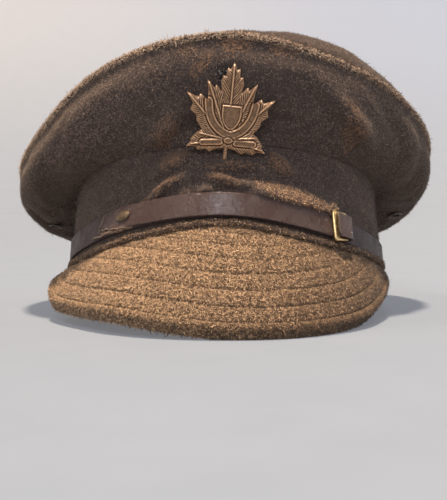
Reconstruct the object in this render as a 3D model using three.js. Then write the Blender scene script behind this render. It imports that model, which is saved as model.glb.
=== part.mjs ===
// A soft military service cap: a wide woollen crown that stands up in front and droops at the
// sides, a cloth band, a deep stitched peak, a leather chin strap with brass fittings, and a
// cast leaf badge. It rests as it would on a table, on the back of its band and on the edge of
// its peak, so the band leans back. Millimetres, +Z up from the table, the peak towards -Y.
// Angles run round the cap from its front, positive towards +X, the wearer's left.
import * as THREE from "three";

// The band, which everything else is built on, and how it leans on the table
const LEAN = 16; // degrees that the band's plane leans back
const LIFT = 27.5; // height of the band's centre above the table
const SHIFT = 1.95; // how far back the band's centre lies from the middle of the whole cap
const BAND = { halfWidth: 91, halfLength: 100, height: 41, taper: 2.5, wall: 3.2 };
const GAP = 0.3; // clearance kept between pieces that touch on the real cap

// The crown by its angle round the cap. rim is the rim's radius, height its height above the
// band's plane, takeoff the angle at which the side panel leaves the band, belly how far it
// runs out there, fullness its depth below the rim, puff the top panel's rise inside the rim.
const SECTIONS = [
  { angle: -180, rim: 123, height: 42, takeoff: -40, belly: 24, fullness: 15, puff: 3 },
  { angle: -150, rim: 123, height: 43, takeoff: -40, belly: 24, fullness: 15, puff: 3 },
  { angle: -120, rim: 122, height: 45, takeoff: -34, belly: 30, fullness: 20, puff: 2 },
  { angle: -90, rim: 122, height: 50, takeoff: -27, belly: 32, fullness: 22, puff: 1.5 },
  { angle: -60, rim: 121, height: 58, takeoff: -8, belly: 27, fullness: 22, puff: 1.5 },
  { angle: -30, rim: 121, height: 81.5, takeoff: 30, belly: 20, fullness: 20, puff: 4 },
  { angle: 0, rim: 122, height: 90.5, takeoff: 50, belly: 16, fullness: 18, puff: 6 },
  { angle: 30, rim: 122, height: 81, takeoff: 40, belly: 18, fullness: 18, puff: 17 },
  { angle: 60, rim: 121, height: 71, takeoff: 8, belly: 23, fullness: 20, puff: 12 },
  { angle: 90, rim: 122, height: 61.5, takeoff: -22, belly: 30, fullness: 22, puff: 6 },
  { angle: 120, rim: 123, height: 51, takeoff: -33, belly: 28, fullness: 19, puff: 4 },
  { angle: 150, rim: 123, height: 45, takeoff: -40, belly: 24, fullness: 15, puff: 3 },
];
const CROWN = { wall: 2.4, middle: 66, puffAt: 0.11, cord: 1.4 };

// Heights on the band: its lower edge, and the middle of the chin strap
const LINES = [
  { angle: -180, edge: -1.5, strap: 2 },
  { angle: -150, edge: -1.5, strap: 2 },
  { angle: -120, edge: -2, strap: 4 },
  { angle: -90, edge: -4, strap: 4 },
  { angle: -60, edge: -8.5, strap: 3.4 },
  { angle: -30, edge: -5.5, strap: 6.5 },
  { angle: 0, edge: -2, strap: 8.4 },
  { angle: 30, edge: -8.3, strap: 3 },
  { angle: 60, edge: -8.7, strap: -1.7 },
  { angle: 90, edge: -7, strap: 0 },
  { angle: 120, edge: -4, strap: 2 },
  { angle: 150, edge: -1.5, strap: 2 },
];

// Folds pushed into the side panels: angle and share place the middle, turn slants it, long and
// wide are its half sizes, deep is how far the cloth stands out, or in where it is negative
const FOLDS = [
  { angle: 39, share: 0.72, turn: -60, long: 26, wide: 6, deep: 3 },
  { angle: 29, share: 0.62, turn: -60, long: 24, wide: 8, deep: -3 },
  { angle: -11, share: 0.24, turn: 25, long: 18, wide: 8, deep: -3 },
  { angle: 15, share: 0.2, turn: -20, long: 18, wide: 8, deep: -3 },
  { angle: 72, share: 0.55, turn: -50, long: 24, wide: 7, deep: -4 },
  { angle: -62, share: 0.4, turn: 35, long: 26, wide: 9, deep: -3 },
  { angle: -98, share: 0.45, turn: 10, long: 24, wide: 6, deep: -3 },
  { angle: 140, share: 0.5, turn: -20, long: 30, wide: 8, deep: -3 },
  { angle: -150, share: 0.5, turn: 20, long: 30, wide: 8, deep: -3 },
];

// The peak's own edge in the table's frame, below the band's centre, from the wearer's right end to the left one. Its
// ends die into the band's sides, and the wearer's right corner is bent up.
const PEAK_EDGE = [
  { x: -93, y: -5, z: 24 },
  { x: -99.5, y: -33, z: 17 },
  { x: -96, y: -55, z: 8.8 },
  { x: -80.5, y: -84, z: 6.8 },
  { x: -57, y: -113, z: 6.8 },
  { x: -30, y: -129, z: 4 },
  { x: 0, y: -135, z: 1.2 },
  { x: 27, y: -132, z: 0.8 },
  { x: 49, y: -119, z: 0.9 },
  { x: 68.5, y: -97, z: 2.2 },
  { x: 83, y: -67, z: 7.5 },
  { x: 91, y: -38, z: 15 },
  { x: 93, y: -6, z: 21.5 },
];
const PEAK = { end: 88, wall: 4.2, bulge: 5 };

// The chin strap's two layers and its fittings, placed by angle
const STRAP = { width: 12.4, thick: 1.6, end: 108, from: -45 };
const SLIDE = { angle: 41, long: 12, tall: 17.4, bar: 2, thick: 1.8, turn: -8, slack: 1.3 };
const STUD = { angle: -36, radius: 3.6, height: 1.6 };
const BUTTON = { angle: 104, radius: 6.5, height: 4.5 };
const EYELET = { angle: 104, share: 0.34, radius: 3.4, bead: 0.8, off: 0.8 };

// The badge's outline, the right half from its stem to its tip, round the leaf's middle
const LEAF = [
  { x: 0.9, y: -24.8 }, { x: 0.9, y: -18.6 }, { x: 4.7, y: -19.4 }, { x: 8.3, y: -21.2 },
  { x: 10, y: -20 }, { x: 14.1, y: -20.8 }, { x: 15.8, y: -19.2 }, { x: 20.2, y: -19.4 },
  { x: 17.9, y: -16.8 }, { x: 18.5, y: -15.6 }, { x: 15.4, y: -11.6 }, { x: 13.1, y: -10 },
  { x: 16.2, y: -6 }, { x: 16.4, y: -3.4 }, { x: 19.8, y: -0.8 }, { x: 18.9, y: 2.8 },
  { x: 22.3, y: 7.9 }, { x: 16.5, y: 6 }, { x: 15.5, y: 7.8 }, { x: 11.5, y: 5.2 },
  { x: 11.8, y: 9.6 }, { x: 12.6, y: 15.1 }, { x: 8.8, y: 11.4 }, { x: 8, y: 13.2 },
  { x: 5, y: 9.8 }, { x: 5.8, y: 14.4 }, { x: 5.1, y: 18 }, { x: 3.5, y: 17.6 },
  { x: 3.2, y: 21.9 }, { x: 1.7, y: 21.2 }, { x: 0, y: 24.8 },
];
const BADGE = { angle: 1, low: 33.5, high: 0.62, off: 0.7, foot: 24, thick: 2.2, lean: -6 };

const rad = THREE.MathUtils.degToRad;
const deg = THREE.MathUtils.radToDeg;
const lerp = THREE.MathUtils.lerp;
const UP = new THREE.Vector3(0, 0, 1);

// An angle brought into 0 to 360 degrees
const turned = (angle) => ((angle % 360) + 360) % 360;

// A column of SECTIONS or LINES at any angle, by a smooth curve that closes on itself
function column(rows, name, angle) {
  const count = rows.length;
  const place = turned(angle + 180) * (count / 360);
  const row = Math.floor(place);
  const t = place - row;
  const [a, b, c, d] = [-1, 0, 1, 2].map((k) => rows[(row + k + count) % count][name]);
  const bends = ((c - a) * (1 - t) - (d - b) * t) * t * (1 - t) / 2;
  return lerp(b, c, t * t * (3 - 2 * t)) + bends;
}
const section = (name, angle) => column(SECTIONS, name, angle);
const line = (name, angle) => column(LINES, name, angle);

// How far the folds push a side panel out at a place
function foldAt(angle, share) {
  let push = 0;
  for (const fold of FOLDS) {
    const across = (turned(angle - fold.angle + 180) - 180) * 1.9;
    const up = (share - fold.share) * 62;
    const along = across * Math.cos(rad(fold.turn)) + up * Math.sin(rad(fold.turn));
    const beside = up * Math.cos(rad(fold.turn)) - across * Math.sin(rad(fold.turn));
    push += fold.deep * Math.exp(-((along / fold.long) ** 2) - (beside / fold.wide) ** 2);
  }
  return push * Math.min(1, share * 8, (1 - share) * 6);
}

// A point on the band's outer face by angle and height above its plane, or out beyond it
function bandPoint(angle, height, out = 0) {
  const low = line("edge", angle);
  const inset = (BAND.taper * (height - low)) / (BAND.height - low) - out;
  return new THREE.Vector3(
    (BAND.halfWidth - inset) * Math.sin(rad(angle)),
    -(BAND.halfLength - inset) * Math.cos(rad(angle)),
    height,
  );
}

function bandNormal(angle) {
  const x = Math.sin(rad(angle)) / BAND.halfWidth;
  const y = -Math.cos(rad(angle)) / BAND.halfLength;
  const slope = BAND.taper / (BAND.height - line("edge", angle));
  return new THREE.Vector3(x, y, 0).normalize().addScaledVector(UP, slope).normalize();
}

// The rim at an angle, which is the seam between the top panel and the side panels
function rimPoint(angle) {
  const r = section("rim", angle);
  const height = section("height", angle);
  return new THREE.Vector3(r * Math.sin(rad(angle)), -r * Math.cos(rad(angle)), height);
}

// A side panel's face: share 0 at the band's top seam, 1 at the rim
function sidePoint(angle, share) {
  const seam = bandPoint(angle, BAND.height).addScaledVector(UP, GAP);
  const rim = rimPoint(angle);
  const out = new THREE.Vector3(rim.x - seam.x, rim.y - seam.y, 0).normalize();
  const leave = rad(section("takeoff", angle));
  const belly = section("belly", angle);
  const fullness = section("fullness", angle);
  const first = seam.clone()
    .addScaledVector(out, belly * Math.cos(leave))
    .addScaledVector(UP, belly * Math.sin(leave));
  const second = rim.clone().addScaledVector(UP, -fullness).addScaledVector(out, fullness * 0.2);
  const curve = new THREE.CubicBezierCurve3(seam, first, second, rim);
  const along = curve.getTangent(share);
  const away = out.clone().multiplyScalar(along.z).addScaledVector(UP, -along.dot(out));
  return curve.getPoint(share).addScaledVector(away, foldAt(angle, share));
}

// The top panel's face: share 0 at the rim, 1 in the middle
function topPoint(angle, share) {
  const rim = rimPoint(angle);
  const rise = share / CROWN.puffAt;
  const p = rim.clone().multiplyScalar(1 - share);
  p.z = lerp(rim.z, CROWN.middle, share * share * (3 - 2 * share));
  p.z += section("puff", angle) * rise * Math.exp(1 - rise);
  return p;
}

// Presses a point of the leaning cap up where it would sink into the table
function settle(p) {
  const c = Math.cos(rad(LEAN));
  const s = Math.sin(rad(LEAN));
  const height = p.z * c - p.y * s + LIFT;
  if (height < 0) p.z -= height / c;
  return p;
}

// A point of the table's frame in the leaning cap's frame
function fromTable({ x, y, z }) {
  const c = Math.cos(rad(LEAN));
  const s = Math.sin(rad(LEAN));
  return new THREE.Vector3(x, y * c - (z - LIFT) * s, y * s + (z - LIFT) * c);
}

// The peak's face: share 0 at the band's lower edge, 1 at the peak's own edge
const peakEdge = new THREE.CatmullRomCurve3(PEAK_EDGE.map(fromTable), false, "centripetal");
function peakPoint(place, share) {
  const angle = lerp(-PEAK.end, PEAK.end, place);
  const p = bandPoint(angle, line("edge", angle) - GAP).lerp(peakEdge.getPoint(place), share);
  const swell = PEAK.bulge * Math.sin(Math.PI * share) * Math.sin(Math.PI * place);
  return p.addScaledVector(bandNormal(angle), swell);
}

// A geometry from points and triangles, turned outwards
function closedGeometry(points, faces) {
  let volume = 0;
  for (let k = 0; k < faces.length; k += 3) {
    const [a, b, c] = [points[faces[k]], points[faces[k + 1]], points[faces[k + 2]]];
    volume += a.dot(b.clone().cross(c));
  }
  const geometry = new THREE.BufferGeometry().setFromPoints(points);
  geometry.setIndex(volume < 0 ? faces.slice().reverse() : faces);
  return geometry;
}

// A sheet of cloth: a face over u and v, and its copy thickness inside. trim is the share of v
// by which the inner copy starts later and ends sooner, for a mitred edge.
function sheet(face, thickness, columns, rows, { closed = false, trim = [0, 0] } = {}) {
  const d = 1e-3;
  const inwards = (u, v) => {
    const across = face(u + d, v).sub(face(u - d, v));
    const along = face(u, Math.min(1, v + d)).sub(face(u, Math.max(0, v - d)));
    return along.cross(across).normalize();
  };
  const count = closed ? columns : columns + 1;
  const points = [];
  for (let side = 0; side < 2; side++)
    for (let i = 0; i < count; i++)
      for (let j = 0; j <= rows; j++) {
        const u = i / columns;
        const v = side ? lerp(trim[0], 1 - trim[1], j / rows) : j / rows;
        const p = face(u, v);
        if (side) p.addScaledVector(inwards(u, v), thickness);
        points.push(settle(p));
      }
  const at = (side, i, j) => (side * count + (i % count)) * (rows + 1) + j;
  const faces = [];
  const quad = (a, b, c, e) => faces.push(a, b, c, a, c, e);
  for (let i = 0; i < columns; i++) {
    for (let j = 0; j < rows; j++) {
      quad(at(0, i, j), at(0, i, j + 1), at(0, i + 1, j + 1), at(0, i + 1, j));
      quad(at(1, i, j), at(1, i + 1, j), at(1, i + 1, j + 1), at(1, i, j + 1));
    }
    quad(at(0, i, 0), at(0, i + 1, 0), at(1, i + 1, 0), at(1, i, 0));
    quad(at(0, i + 1, rows), at(0, i, rows), at(1, i, rows), at(1, i + 1, rows));
  }
  for (let j = 0; j < rows && !closed; j++) {
    quad(at(0, 0, j + 1), at(0, 0, j), at(1, 0, j), at(1, 0, j + 1));
    quad(at(0, columns, j), at(0, columns, j + 1), at(1, columns, j + 1), at(1, columns, j));
  }
  return closedGeometry(points, faces);
}

// The same for a disc whose last row of v is its middle point, with the copy straight below
function disc(face, thickness, columns, rows, trim) {
  const points = [];
  for (let side = 0; side < 2; side++) {
    for (let i = 0; i < columns; i++)
      for (let j = 0; j < rows; j++) {
        const v = side ? lerp(trim, 1, j / rows) : j / rows;
        points.push(face(i / columns, v).addScaledVector(UP, -thickness * side));
      }
    points.push(face(0, 1).addScaledVector(UP, -thickness * side));
  }
  const middle = columns * rows;
  const at = (side, i, j) => side * (middle + 1) + (j < rows ? (i % columns) * rows + j : middle);
  const faces = [];
  for (let i = 0; i < columns; i++) {
    for (let j = 0; j < rows; j++) {
      faces.push(at(0, i, j), at(0, i + 1, j), at(0, i + 1, j + 1));
      faces.push(at(1, i, j), at(1, i + 1, j + 1), at(1, i + 1, j));
      if (j === rows - 1) continue;
      faces.push(at(0, i, j), at(0, i + 1, j + 1), at(0, i, j + 1));
      faces.push(at(1, i, j), at(1, i, j + 1), at(1, i + 1, j + 1));
    }
    faces.push(at(0, i + 1, 0), at(0, i, 0), at(1, i, 0));
    faces.push(at(0, i + 1, 0), at(1, i, 0), at(1, i + 1, 0));
  }
  return closedGeometry(points, faces);
}

// A strip of leather laid along the band. Its path lists places along its middle, each an angle
// and a distance out from the band's face.
const MM_PER_DEGREE = 1.667;
function strip(path, width, thick) {
  const points = path.flatMap(([angle, out], k) => {
    const before = path[Math.max(0, k - 1)];
    const after = path[Math.min(path.length - 1, k + 1)];
    const run = (after[0] - before[0]) * MM_PER_DEGREE;
    const rise = after[1] - before[1];
    const half = thick / 2 / Math.hypot(run, rise);
    return [[1, 1], [1, -1], [-1, -1], [-1, 1]].map(([face, edge]) => bandPoint(
      angle - (face * half * rise) / MM_PER_DEGREE,
      line("strap", angle) + (edge * width) / 2,
      out + face * half * run,
    ));
  });
  const faces = [0, 1, 2, 0, 2, 3];
  const last = points.length - 4;
  for (let k = 0; k < last; k += 4)
    for (let j = 0; j < 4; j++) {
      const [a, b] = [k + j, k + ((j + 1) % 4)];
      faces.push(a, a + 4, b + 4, a, b + 4, b);
    }
  faces.push(last, last + 2, last + 1, last, last + 3, last + 2);
  return closedGeometry(points, faces);
}

// A shallow dome on a flat back, along Z
function dome(radius, height, sides) {
  const profile = [
    [0, 0], [radius * 0.9, 0], [radius, height * 0.25], [radius * 0.86, height * 0.62],
    [radius * 0.5, height * 0.92], [0, height],
  ].map(([r, z]) => new THREE.Vector2(r, z));
  return new THREE.LatheGeometry(profile, sides).rotateX(Math.PI / 2);
}

const finish = (color, roughness, metalness = 0) =>
  new THREE.MeshStandardMaterial({ color, roughness, metalness, flatShading: true });
const serge = finish(0x5b4a35, 0.95);
const peakSerge = finish(0x7a6344, 0.95);
const leather = finish(0x4a3430, 0.5);
const brass = finish(0xb08d4a, 0.4, 0.9);
const bronze = finish(0x8a6a42, 0.45, 0.85);

const cap = new THREE.Group(); // the part's frame: the table is Z = 0
const leaning = new THREE.Group(); // the band's own frame, leaning back
leaning.rotation.x = -rad(LEAN);
leaning.position.set(0, SHIFT, LIFT);
cap.add(leaning);

function piece(name, geometry, material) {
  const mesh = new THREE.Mesh(geometry, material);
  mesh.name = name;
  leaning.add(mesh);
  return mesh;
}

// Stands a mesh on a face, its local Z along the face's normal and its local Y upwards
function stand(mesh, point, normal, turn = 0) {
  const across = UP.clone().cross(normal).normalize();
  const upright = normal.clone().cross(across);
  mesh.position.copy(point);
  mesh.quaternion.setFromRotationMatrix(new THREE.Matrix4().makeBasis(across, upright, normal));
  mesh.rotateZ(rad(turn));
}

// A side panel's point and outward normal
function sideFace(angle, share) {
  const d = 0.01;
  const across = sidePoint(angle + d, share).sub(sidePoint(angle - d, share));
  const along = sidePoint(angle, share + d).sub(sidePoint(angle, share - d));
  return { point: sidePoint(angle, share), normal: across.cross(along).normalize() };
}

// Crown: the top panel, the four side panels and the corded seam between them
function crown() {
  const clear = CROWN.cord + GAP;
  piece("crown_top", disc((u, v) => {
    const angle = u * 360 - 180;
    return topPoint(angle, lerp(clear / section("rim", angle), 1, v));
  }, CROWN.wall, 64, 8, 0.025), serge);

  const margin = deg(GAP / 2 / BAND.halfWidth);
  const panels = { back_right: -180, front_right: -90, front_left: 0, back_left: 90 };
  for (const [name, from] of Object.entries(panels))
    piece("quarter_" + name, sheet((u, v) => {
      const angle = from + lerp(margin, 90 - margin, u);
      return sidePoint(angle, v * (1 - clear / 3 / section("fullness", angle)));
    }, CROWN.wall, 16, 8, { trim: [0, 0.045] }), serge);

  const faces = [];
  const points = [];
  for (let i = 0; i < 64; i++)
    for (let turn = 0; turn < 360; turn += 60) {
      const p = rimPoint(i * 5.625 - 180);
      const out = new THREE.Vector3(p.x, p.y, 0).normalize();
      p.addScaledVector(out, CROWN.cord * Math.cos(rad(turn)));
      points.push(p.addScaledVector(UP, CROWN.cord * Math.sin(rad(turn))));
    }
  const at = (i, j) => (i % 64) * 6 + (j % 6);
  for (let i = 0; i < 64; i++)
    for (let j = 0; j < 6; j++) {
      faces.push(at(i, j), at(i, j + 1), at(i + 1, j + 1));
      faces.push(at(i, j), at(i + 1, j + 1), at(i + 1, j));
    }
  piece("rim_cord", closedGeometry(points, faces), serge);
}

function band() {
  const face = (u, v) => {
    const angle = u * 360 - 180;
    return bandPoint(angle, lerp(line("edge", angle), BAND.height, v));
  };
  piece("band", sheet(face, BAND.wall, 72, 4, { closed: true }), serge);
}

function peak() {
  const face = (u, v) => peakPoint(lerp(0.995, 0.005, u), v);
  piece("peak", sheet(face, PEAK.wall, 40, 6), peakSerge);
}

// Chin strap: a lower layer from button to button, and an upper one from the stud to the slide
// with its end folded round the slide's far bar
function strap() {
  const low = GAP + STRAP.thick / 2;
  const high = low + STRAP.thick + GAP;
  const steps = (from, to, out, count) =>
    Array.from({ length: count + 1 }, (_, k) => [lerp(from, to, k / count), out]);
  const under = steps(-STRAP.end, STRAP.end, low, 56);
  piece("strap_under", strip(under, STRAP.width, STRAP.thick), leather);

  const bend = (SLIDE.thick + STRAP.thick) / 2 + GAP * 1.8;
  const bar = SLIDE.angle + (SLIDE.long - SLIDE.bar) / 2 / MM_PER_DEGREE;
  const reach = (bend + (SLIDE.bar - SLIDE.thick) / 2 + SLIDE.slack) / MM_PER_DEGREE;
  const over = steps(STRAP.from, bar, high, 26);
  for (const turn of [-60, -30, 0, 30, 60, 90])
    over.push([bar + reach * Math.cos(rad(turn)), high + bend + bend * Math.sin(rad(turn))]);
  over.push([SLIDE.angle - 1.2, high + bend * 2]);
  piece("strap_over", strip(over, STRAP.width, STRAP.thick), leather);

  const [x, y] = [SLIDE.long / 2, SLIDE.tall / 2];
  const box = (Kind, w, h) =>
    new Kind([[-w, -h], [w, -h], [w, h], [-w, h]].map(([a, b]) => new THREE.Vector2(a, b)));
  const frame = box(THREE.Shape, x, y);
  frame.holes.push(box(THREE.Path, x - SLIDE.bar, y - SLIDE.bar));
  const plate = new THREE.ExtrudeGeometry(frame, { depth: SLIDE.thick, bevelEnabled: false });
  const slide = piece("strap_slide", plate.translate(0, 0, -SLIDE.thick / 2), brass);
  const middle = bandPoint(SLIDE.angle, line("strap", SLIDE.angle), high + bend);
  stand(slide, middle, bandNormal(SLIDE.angle), SLIDE.turn);

  const stud = piece("strap_stud", dome(STUD.radius, STUD.height, 20), brass);
  const top = high + STRAP.thick / 2 + GAP;
  stand(stud, bandPoint(STUD.angle, line("strap", STUD.angle), top), bandNormal(STUD.angle));
  for (const [name, way] of [["left", 1], ["right", -1]]) {
    const angle = way * BUTTON.angle;
    const button = piece("side_button_" + name, dome(BUTTON.radius, BUTTON.height, 24), brass);
    const seat = bandPoint(angle, line("strap", angle), low + STRAP.thick / 2 + GAP);
    stand(button, seat, bandNormal(angle));
  }
}

function badge() {
  const other = LEAF.slice(0, -1).reverse().map(({ x, y }) => ({ x: -x, y }));
  const shape = new THREE.Shape([...LEAF, ...other].map(({ x, y }) => new THREE.Vector2(x, y)));
  const plate = new THREE.ExtrudeGeometry(shape, { depth: BADGE.thick, bevelEnabled: false });
  const low = bandPoint(BADGE.angle, BADGE.low, BADGE.off);
  const { point, normal } = sideFace(BADGE.angle, BADGE.high);
  const upright = point.addScaledVector(normal, BADGE.off).sub(low).normalize();
  const across = new THREE.Vector3(Math.cos(rad(BADGE.angle)), Math.sin(rad(BADGE.angle)), 0);
  const leaf = piece("badge", plate, bronze);
  stand(leaf, low.addScaledVector(upright, BADGE.foot), across.cross(upright), BADGE.lean);
}

// Vent eyelets, small turned rings under the crown's overhang at each side
function eyelets() {
  for (const [name, way] of [["left", 1], ["right", -1]]) {
    const ring = new THREE.TorusGeometry(EYELET.radius, EYELET.bead, 6, 18);
    const { point, normal } = sideFace(way * EYELET.angle, EYELET.share);
    const eyelet = piece("eyelet_" + name, ring, brass);
    stand(eyelet, point.addScaledVector(normal, EYELET.bead + EYELET.off), normal);
  }
}

crown();
band();
peak();
strap();
badge();
eyelets();

export default cap;
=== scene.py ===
# %% [markdown]
# # A khaki wool service cap
# The cap rests on a table, on the back of its band and on the edge of its peak, so its band
# leans back. It is made of felted wool sewn over a stiff band, with a deep stitched peak, a
# leather chin strap with brass fittings, and a cast bronze leaf badge. The packed model is
# loaded first: it is the fixed frame that every piece below is built around.

# %% The frame
import math
import bmesh
import bpy
import numpy as np
from mathutils import Matrix, Vector, noise
from mathutils.geometry import delaunay_2d_cdt


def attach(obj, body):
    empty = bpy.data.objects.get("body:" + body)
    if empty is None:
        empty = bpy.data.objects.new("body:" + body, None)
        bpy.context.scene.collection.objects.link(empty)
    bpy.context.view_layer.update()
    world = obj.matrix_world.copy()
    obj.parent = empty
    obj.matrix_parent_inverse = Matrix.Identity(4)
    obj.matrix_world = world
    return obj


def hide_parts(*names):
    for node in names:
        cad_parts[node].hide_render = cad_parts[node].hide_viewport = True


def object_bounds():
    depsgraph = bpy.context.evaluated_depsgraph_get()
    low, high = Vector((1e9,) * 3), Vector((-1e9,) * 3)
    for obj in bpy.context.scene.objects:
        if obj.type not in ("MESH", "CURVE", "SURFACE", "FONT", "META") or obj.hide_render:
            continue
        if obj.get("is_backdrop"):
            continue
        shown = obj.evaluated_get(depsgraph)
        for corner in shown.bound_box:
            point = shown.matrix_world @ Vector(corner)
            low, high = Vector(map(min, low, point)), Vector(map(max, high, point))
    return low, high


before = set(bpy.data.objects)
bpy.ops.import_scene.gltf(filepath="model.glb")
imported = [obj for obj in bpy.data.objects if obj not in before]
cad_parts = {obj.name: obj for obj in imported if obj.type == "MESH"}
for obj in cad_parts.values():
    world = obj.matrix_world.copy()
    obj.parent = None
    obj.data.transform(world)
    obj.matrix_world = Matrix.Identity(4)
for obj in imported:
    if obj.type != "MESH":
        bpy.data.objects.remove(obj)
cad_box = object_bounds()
print("frame:", len(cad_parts), "solids, box", [round(v, 3) for v in cad_box[1] - cad_box[0]])

# %% [markdown]
# ## The cap's measures
# Hats are cut from a few measures taken round the head, so the shape is kept the same way
# here: a table of sections, one for every 30 degrees round the cap, instead of a sculpted
# mesh. The numbers are millimetres in the band's own frame, with the angle running from the
# front towards the wearer's left. They repeat the measures of the packed solids.

# %% Measures of the crown, the band and the peak
MM = 0.001
LEAN, LIFT, SHIFT = 16, 27.5, 1.95  # degrees that the band leans back, and how it stands then
GAP = 0.3  # between neighbouring pieces
BAND_ARC, SIDE_ARC = 1.7, 1.9  # millimetres for one degree, round the band and the side panels
PANEL_TALL = 62  # a side panel's height, measured up its face
OVER_STRAP = 6.4  # from the strap's middle to just over its upper edge
BAND = {"half_width": 91, "half_length": 100, "height": 41, "taper": 2.5, "wall": 3.2}
CROWN = {"wall": 2.4, "middle": 66, "puff_at": 0.11, "cord": 1.4}
ROUND = {  # every 30 degrees from -180, the middle of the back
    "rim": (123, 123, 122, 122, 121, 121, 122, 122, 121, 122, 123, 123),
    "height": (42, 43, 45, 50, 58, 81.5, 90.5, 81, 71, 61.5, 51, 45),
    "takeoff": (-40, -40, -34, -27, -8, 30, 50, 40, 8, -22, -33, -40),
    "belly": (24, 24, 30, 32, 27, 20, 16, 18, 23, 30, 28, 24),
    "fullness": (15, 15, 20, 22, 22, 20, 18, 18, 20, 22, 19, 15),
    "puff": (3, 3, 2, 1.5, 1.5, 4, 6, 17, 12, 6, 4, 3),
    "edge": (-1.5, -1.5, -2, -4, -8.5, -5.5, -2, -8.3, -8.7, -7, -4, -1.5),
    "strap": (2, 2, 4, 4, 3.4, 6.5, 8.4, 3, -1.7, 0, 2, 2),
}
PEAK_EDGE = np.array([
    (-93, -5, 24), (-100.5, -34, 16.4), (-97, -56, 8.8), (-80.5, -84, 6.8), (-57, -113, 6.8),
    (-30, -129, 4), (0, -135, 1.2), (27, -132, 0.8), (49, -119, 0.9), (68.5, -97, 2.2),
    (82, -67, 7), (89.4, -38, 14.2), (92, -6, 21)], float)
PEAK = {"end": 88, "wall": 4.2, "bulge": 5}


def measure(name, angle):
    """A measure at any angle, by a smooth curve that closes on itself"""
    rows = np.array(ROUND[name], float)
    count = len(rows)
    place = (np.asarray(angle, float) + 180) % 360 * count / 360
    row = np.floor(place).astype(int)
    t = place - row
    a, b, c, d = (rows[(row + k) % count] for k in (-1, 0, 1, 2))
    bends = ((c - a) * (1 - t) - (d - b) * t) * t * (1 - t) / 2
    return b + (c - b) * t * t * (3 - 2 * t) + bends


print("rim height at the front and back:", measure("height", 0), measure("height", 180))

# %% [markdown]
# Angles and shares come as whole arrays, so that a face of many thousand points is worked out
# in one go. `table` leans finished points back and stands them on the table. Soft noise gives
# the small unevenness of handled cloth, which no plain formula has.

# %% Points, directions and soft noise


def point(x, y, z):
    return np.stack(np.broadcast_arrays(x, y, z), -1).astype(float)


def unit(v):
    return v / np.maximum(np.linalg.norm(v, axis=-1, keepdims=True), 1e-9)


def blend(a, b, t):
    return a + (b - a) * t


def smooth(low, high, value):
    """0 below low, 1 above high, and a soft step between"""
    t = np.clip((value - low) / (high - low), 0, 1)
    return t * t * (3 - 2 * t)


def bell(value, width):
    """1 at zero, and soft on both sides to nothing at about twice the width"""
    return np.exp(-((value / width) ** 2))


def around(count):
    """Even turns round a circle"""
    return np.linspace(0, 2 * math.pi, count, endpoint=False)


def outward(p):
    """The level direction of a vector"""
    return unit(p * (1, 1, 0))


def cos_sin(degrees):
    return math.cos(math.radians(degrees)), math.sin(math.radians(degrees))


def table(p):
    """Points of the leaning band's frame, stood on the table: nothing sinks into it"""
    c, s = cos_sin(LEAN)
    height = p[..., 2] * c - p[..., 1] * s + LIFT
    z = p[..., 2] - np.minimum(height - 0.05, 0) / c
    return point(p[..., 0], p[..., 1] * c + z * s + SHIFT, z * c - p[..., 1] * s + LIFT)


def from_table(p):
    c, s = cos_sin(LEAN)
    z = p[..., 2] - LIFT
    return point(p[..., 0], p[..., 1] * c - z * s, p[..., 1] * s + z * c)


def drift(p, size, seed=0):
    """Soft noise from -1 to 1, with bumps about size millimetres across"""
    flat = p.reshape(-1, 3) / size + seed * 17.3
    return np.array([noise.noise(q) for q in flat.tolist()]).reshape(p.shape[:-1])


print("the band's middle stands at", table(point(0, 0, 0)).round(1))

# %% [markdown]
# ## The band and the crown's faces
# The band is an oval wall that tapers a little. A side panel leaves its top seam, bellies out
# and turns up to the rim; a cubic curve drawn through four measures says all of that at every
# angle. Folds are soft ridges pushed into it, each from one row of a table.

# %% Faces of the band, the side panels and the top
FOLDS = [  # angle, share up the panel, turn, half length, half width, how far out
    (38, 0.45, -28, 20, 6, 7), (51, 0.64, -35, 20, 8, -4.5), (-10, 0.24, 25, 14, 7, -3),
    (15, 0.2, -20, 18, 8, -3), (72, 0.55, -50, 24, 8, -3), (-62, 0.4, 35, 26, 9, -3),
    (-19, 0.2, 36, 14, 5.5, 5), (27, 0.5, -40, 16, 6, -1.6), (99, 0.4, 0, 24, 14, -4),
    (-98, 0.45, 10, 24, 6, -3), (140, 0.5, -20, 30, 8, -3), (-150, 0.5, 20, 30, 8, -3),
    # finer creases: beside the badge, where the right lobe droops, and along the left roll
    (20, 0.16, -10, 12, 3.5, 2.0), (60, 0.42, -55, 18, 3, -1.2), (88, 0.42, -38, 14, 2.6, 1.3),
    (97, 0.6, -30, 16, 3, -1.2), (-38, 0.3, 28, 16, 3, 1.2), (-80, 0.3, 20, 15, 3, 1.2),
    (-48, 0.62, 48, 18, 3.4, -1.1), (-120, 0.35, 12, 18, 3, 1.2), (118, 0.3, -15, 18, 3, 1.1),
    (170, 0.4, 4, 22, 3.5, 1.2),
]
BAND_FOLDS = [  # angle, height, turn, half length, half width, how far out
    (-20, 19.6, 27, 11, 2.8, 5.4), (-10, 20, 24, 8, 3.2, -1.6), (-6.5, 16.6, 0, 4, 1.8, 3),
    (-0.7, 21.4, -20, 8.5, 2.4, 5), (-1, 17.4, -5, 6, 2, -1.4), (8, 18, -16, 8, 3, 4.6),
    (-17, 32, 12, 10, 4.4, 6), (18, 31, -34, 9, 4, 5.8), (3, 29.4, 0, 12, 2.8, 3.8),
    (-45, 18, 20, 16, 4, 1.4), (62, 12, -20, 14, 4, 1.6), (52, 24, -30, 12, 3, -1.2),
    (-60, 26, 15, 12, 3, -1), (8, 25, -6, 16, 2.6, -1.6),
]


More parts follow.
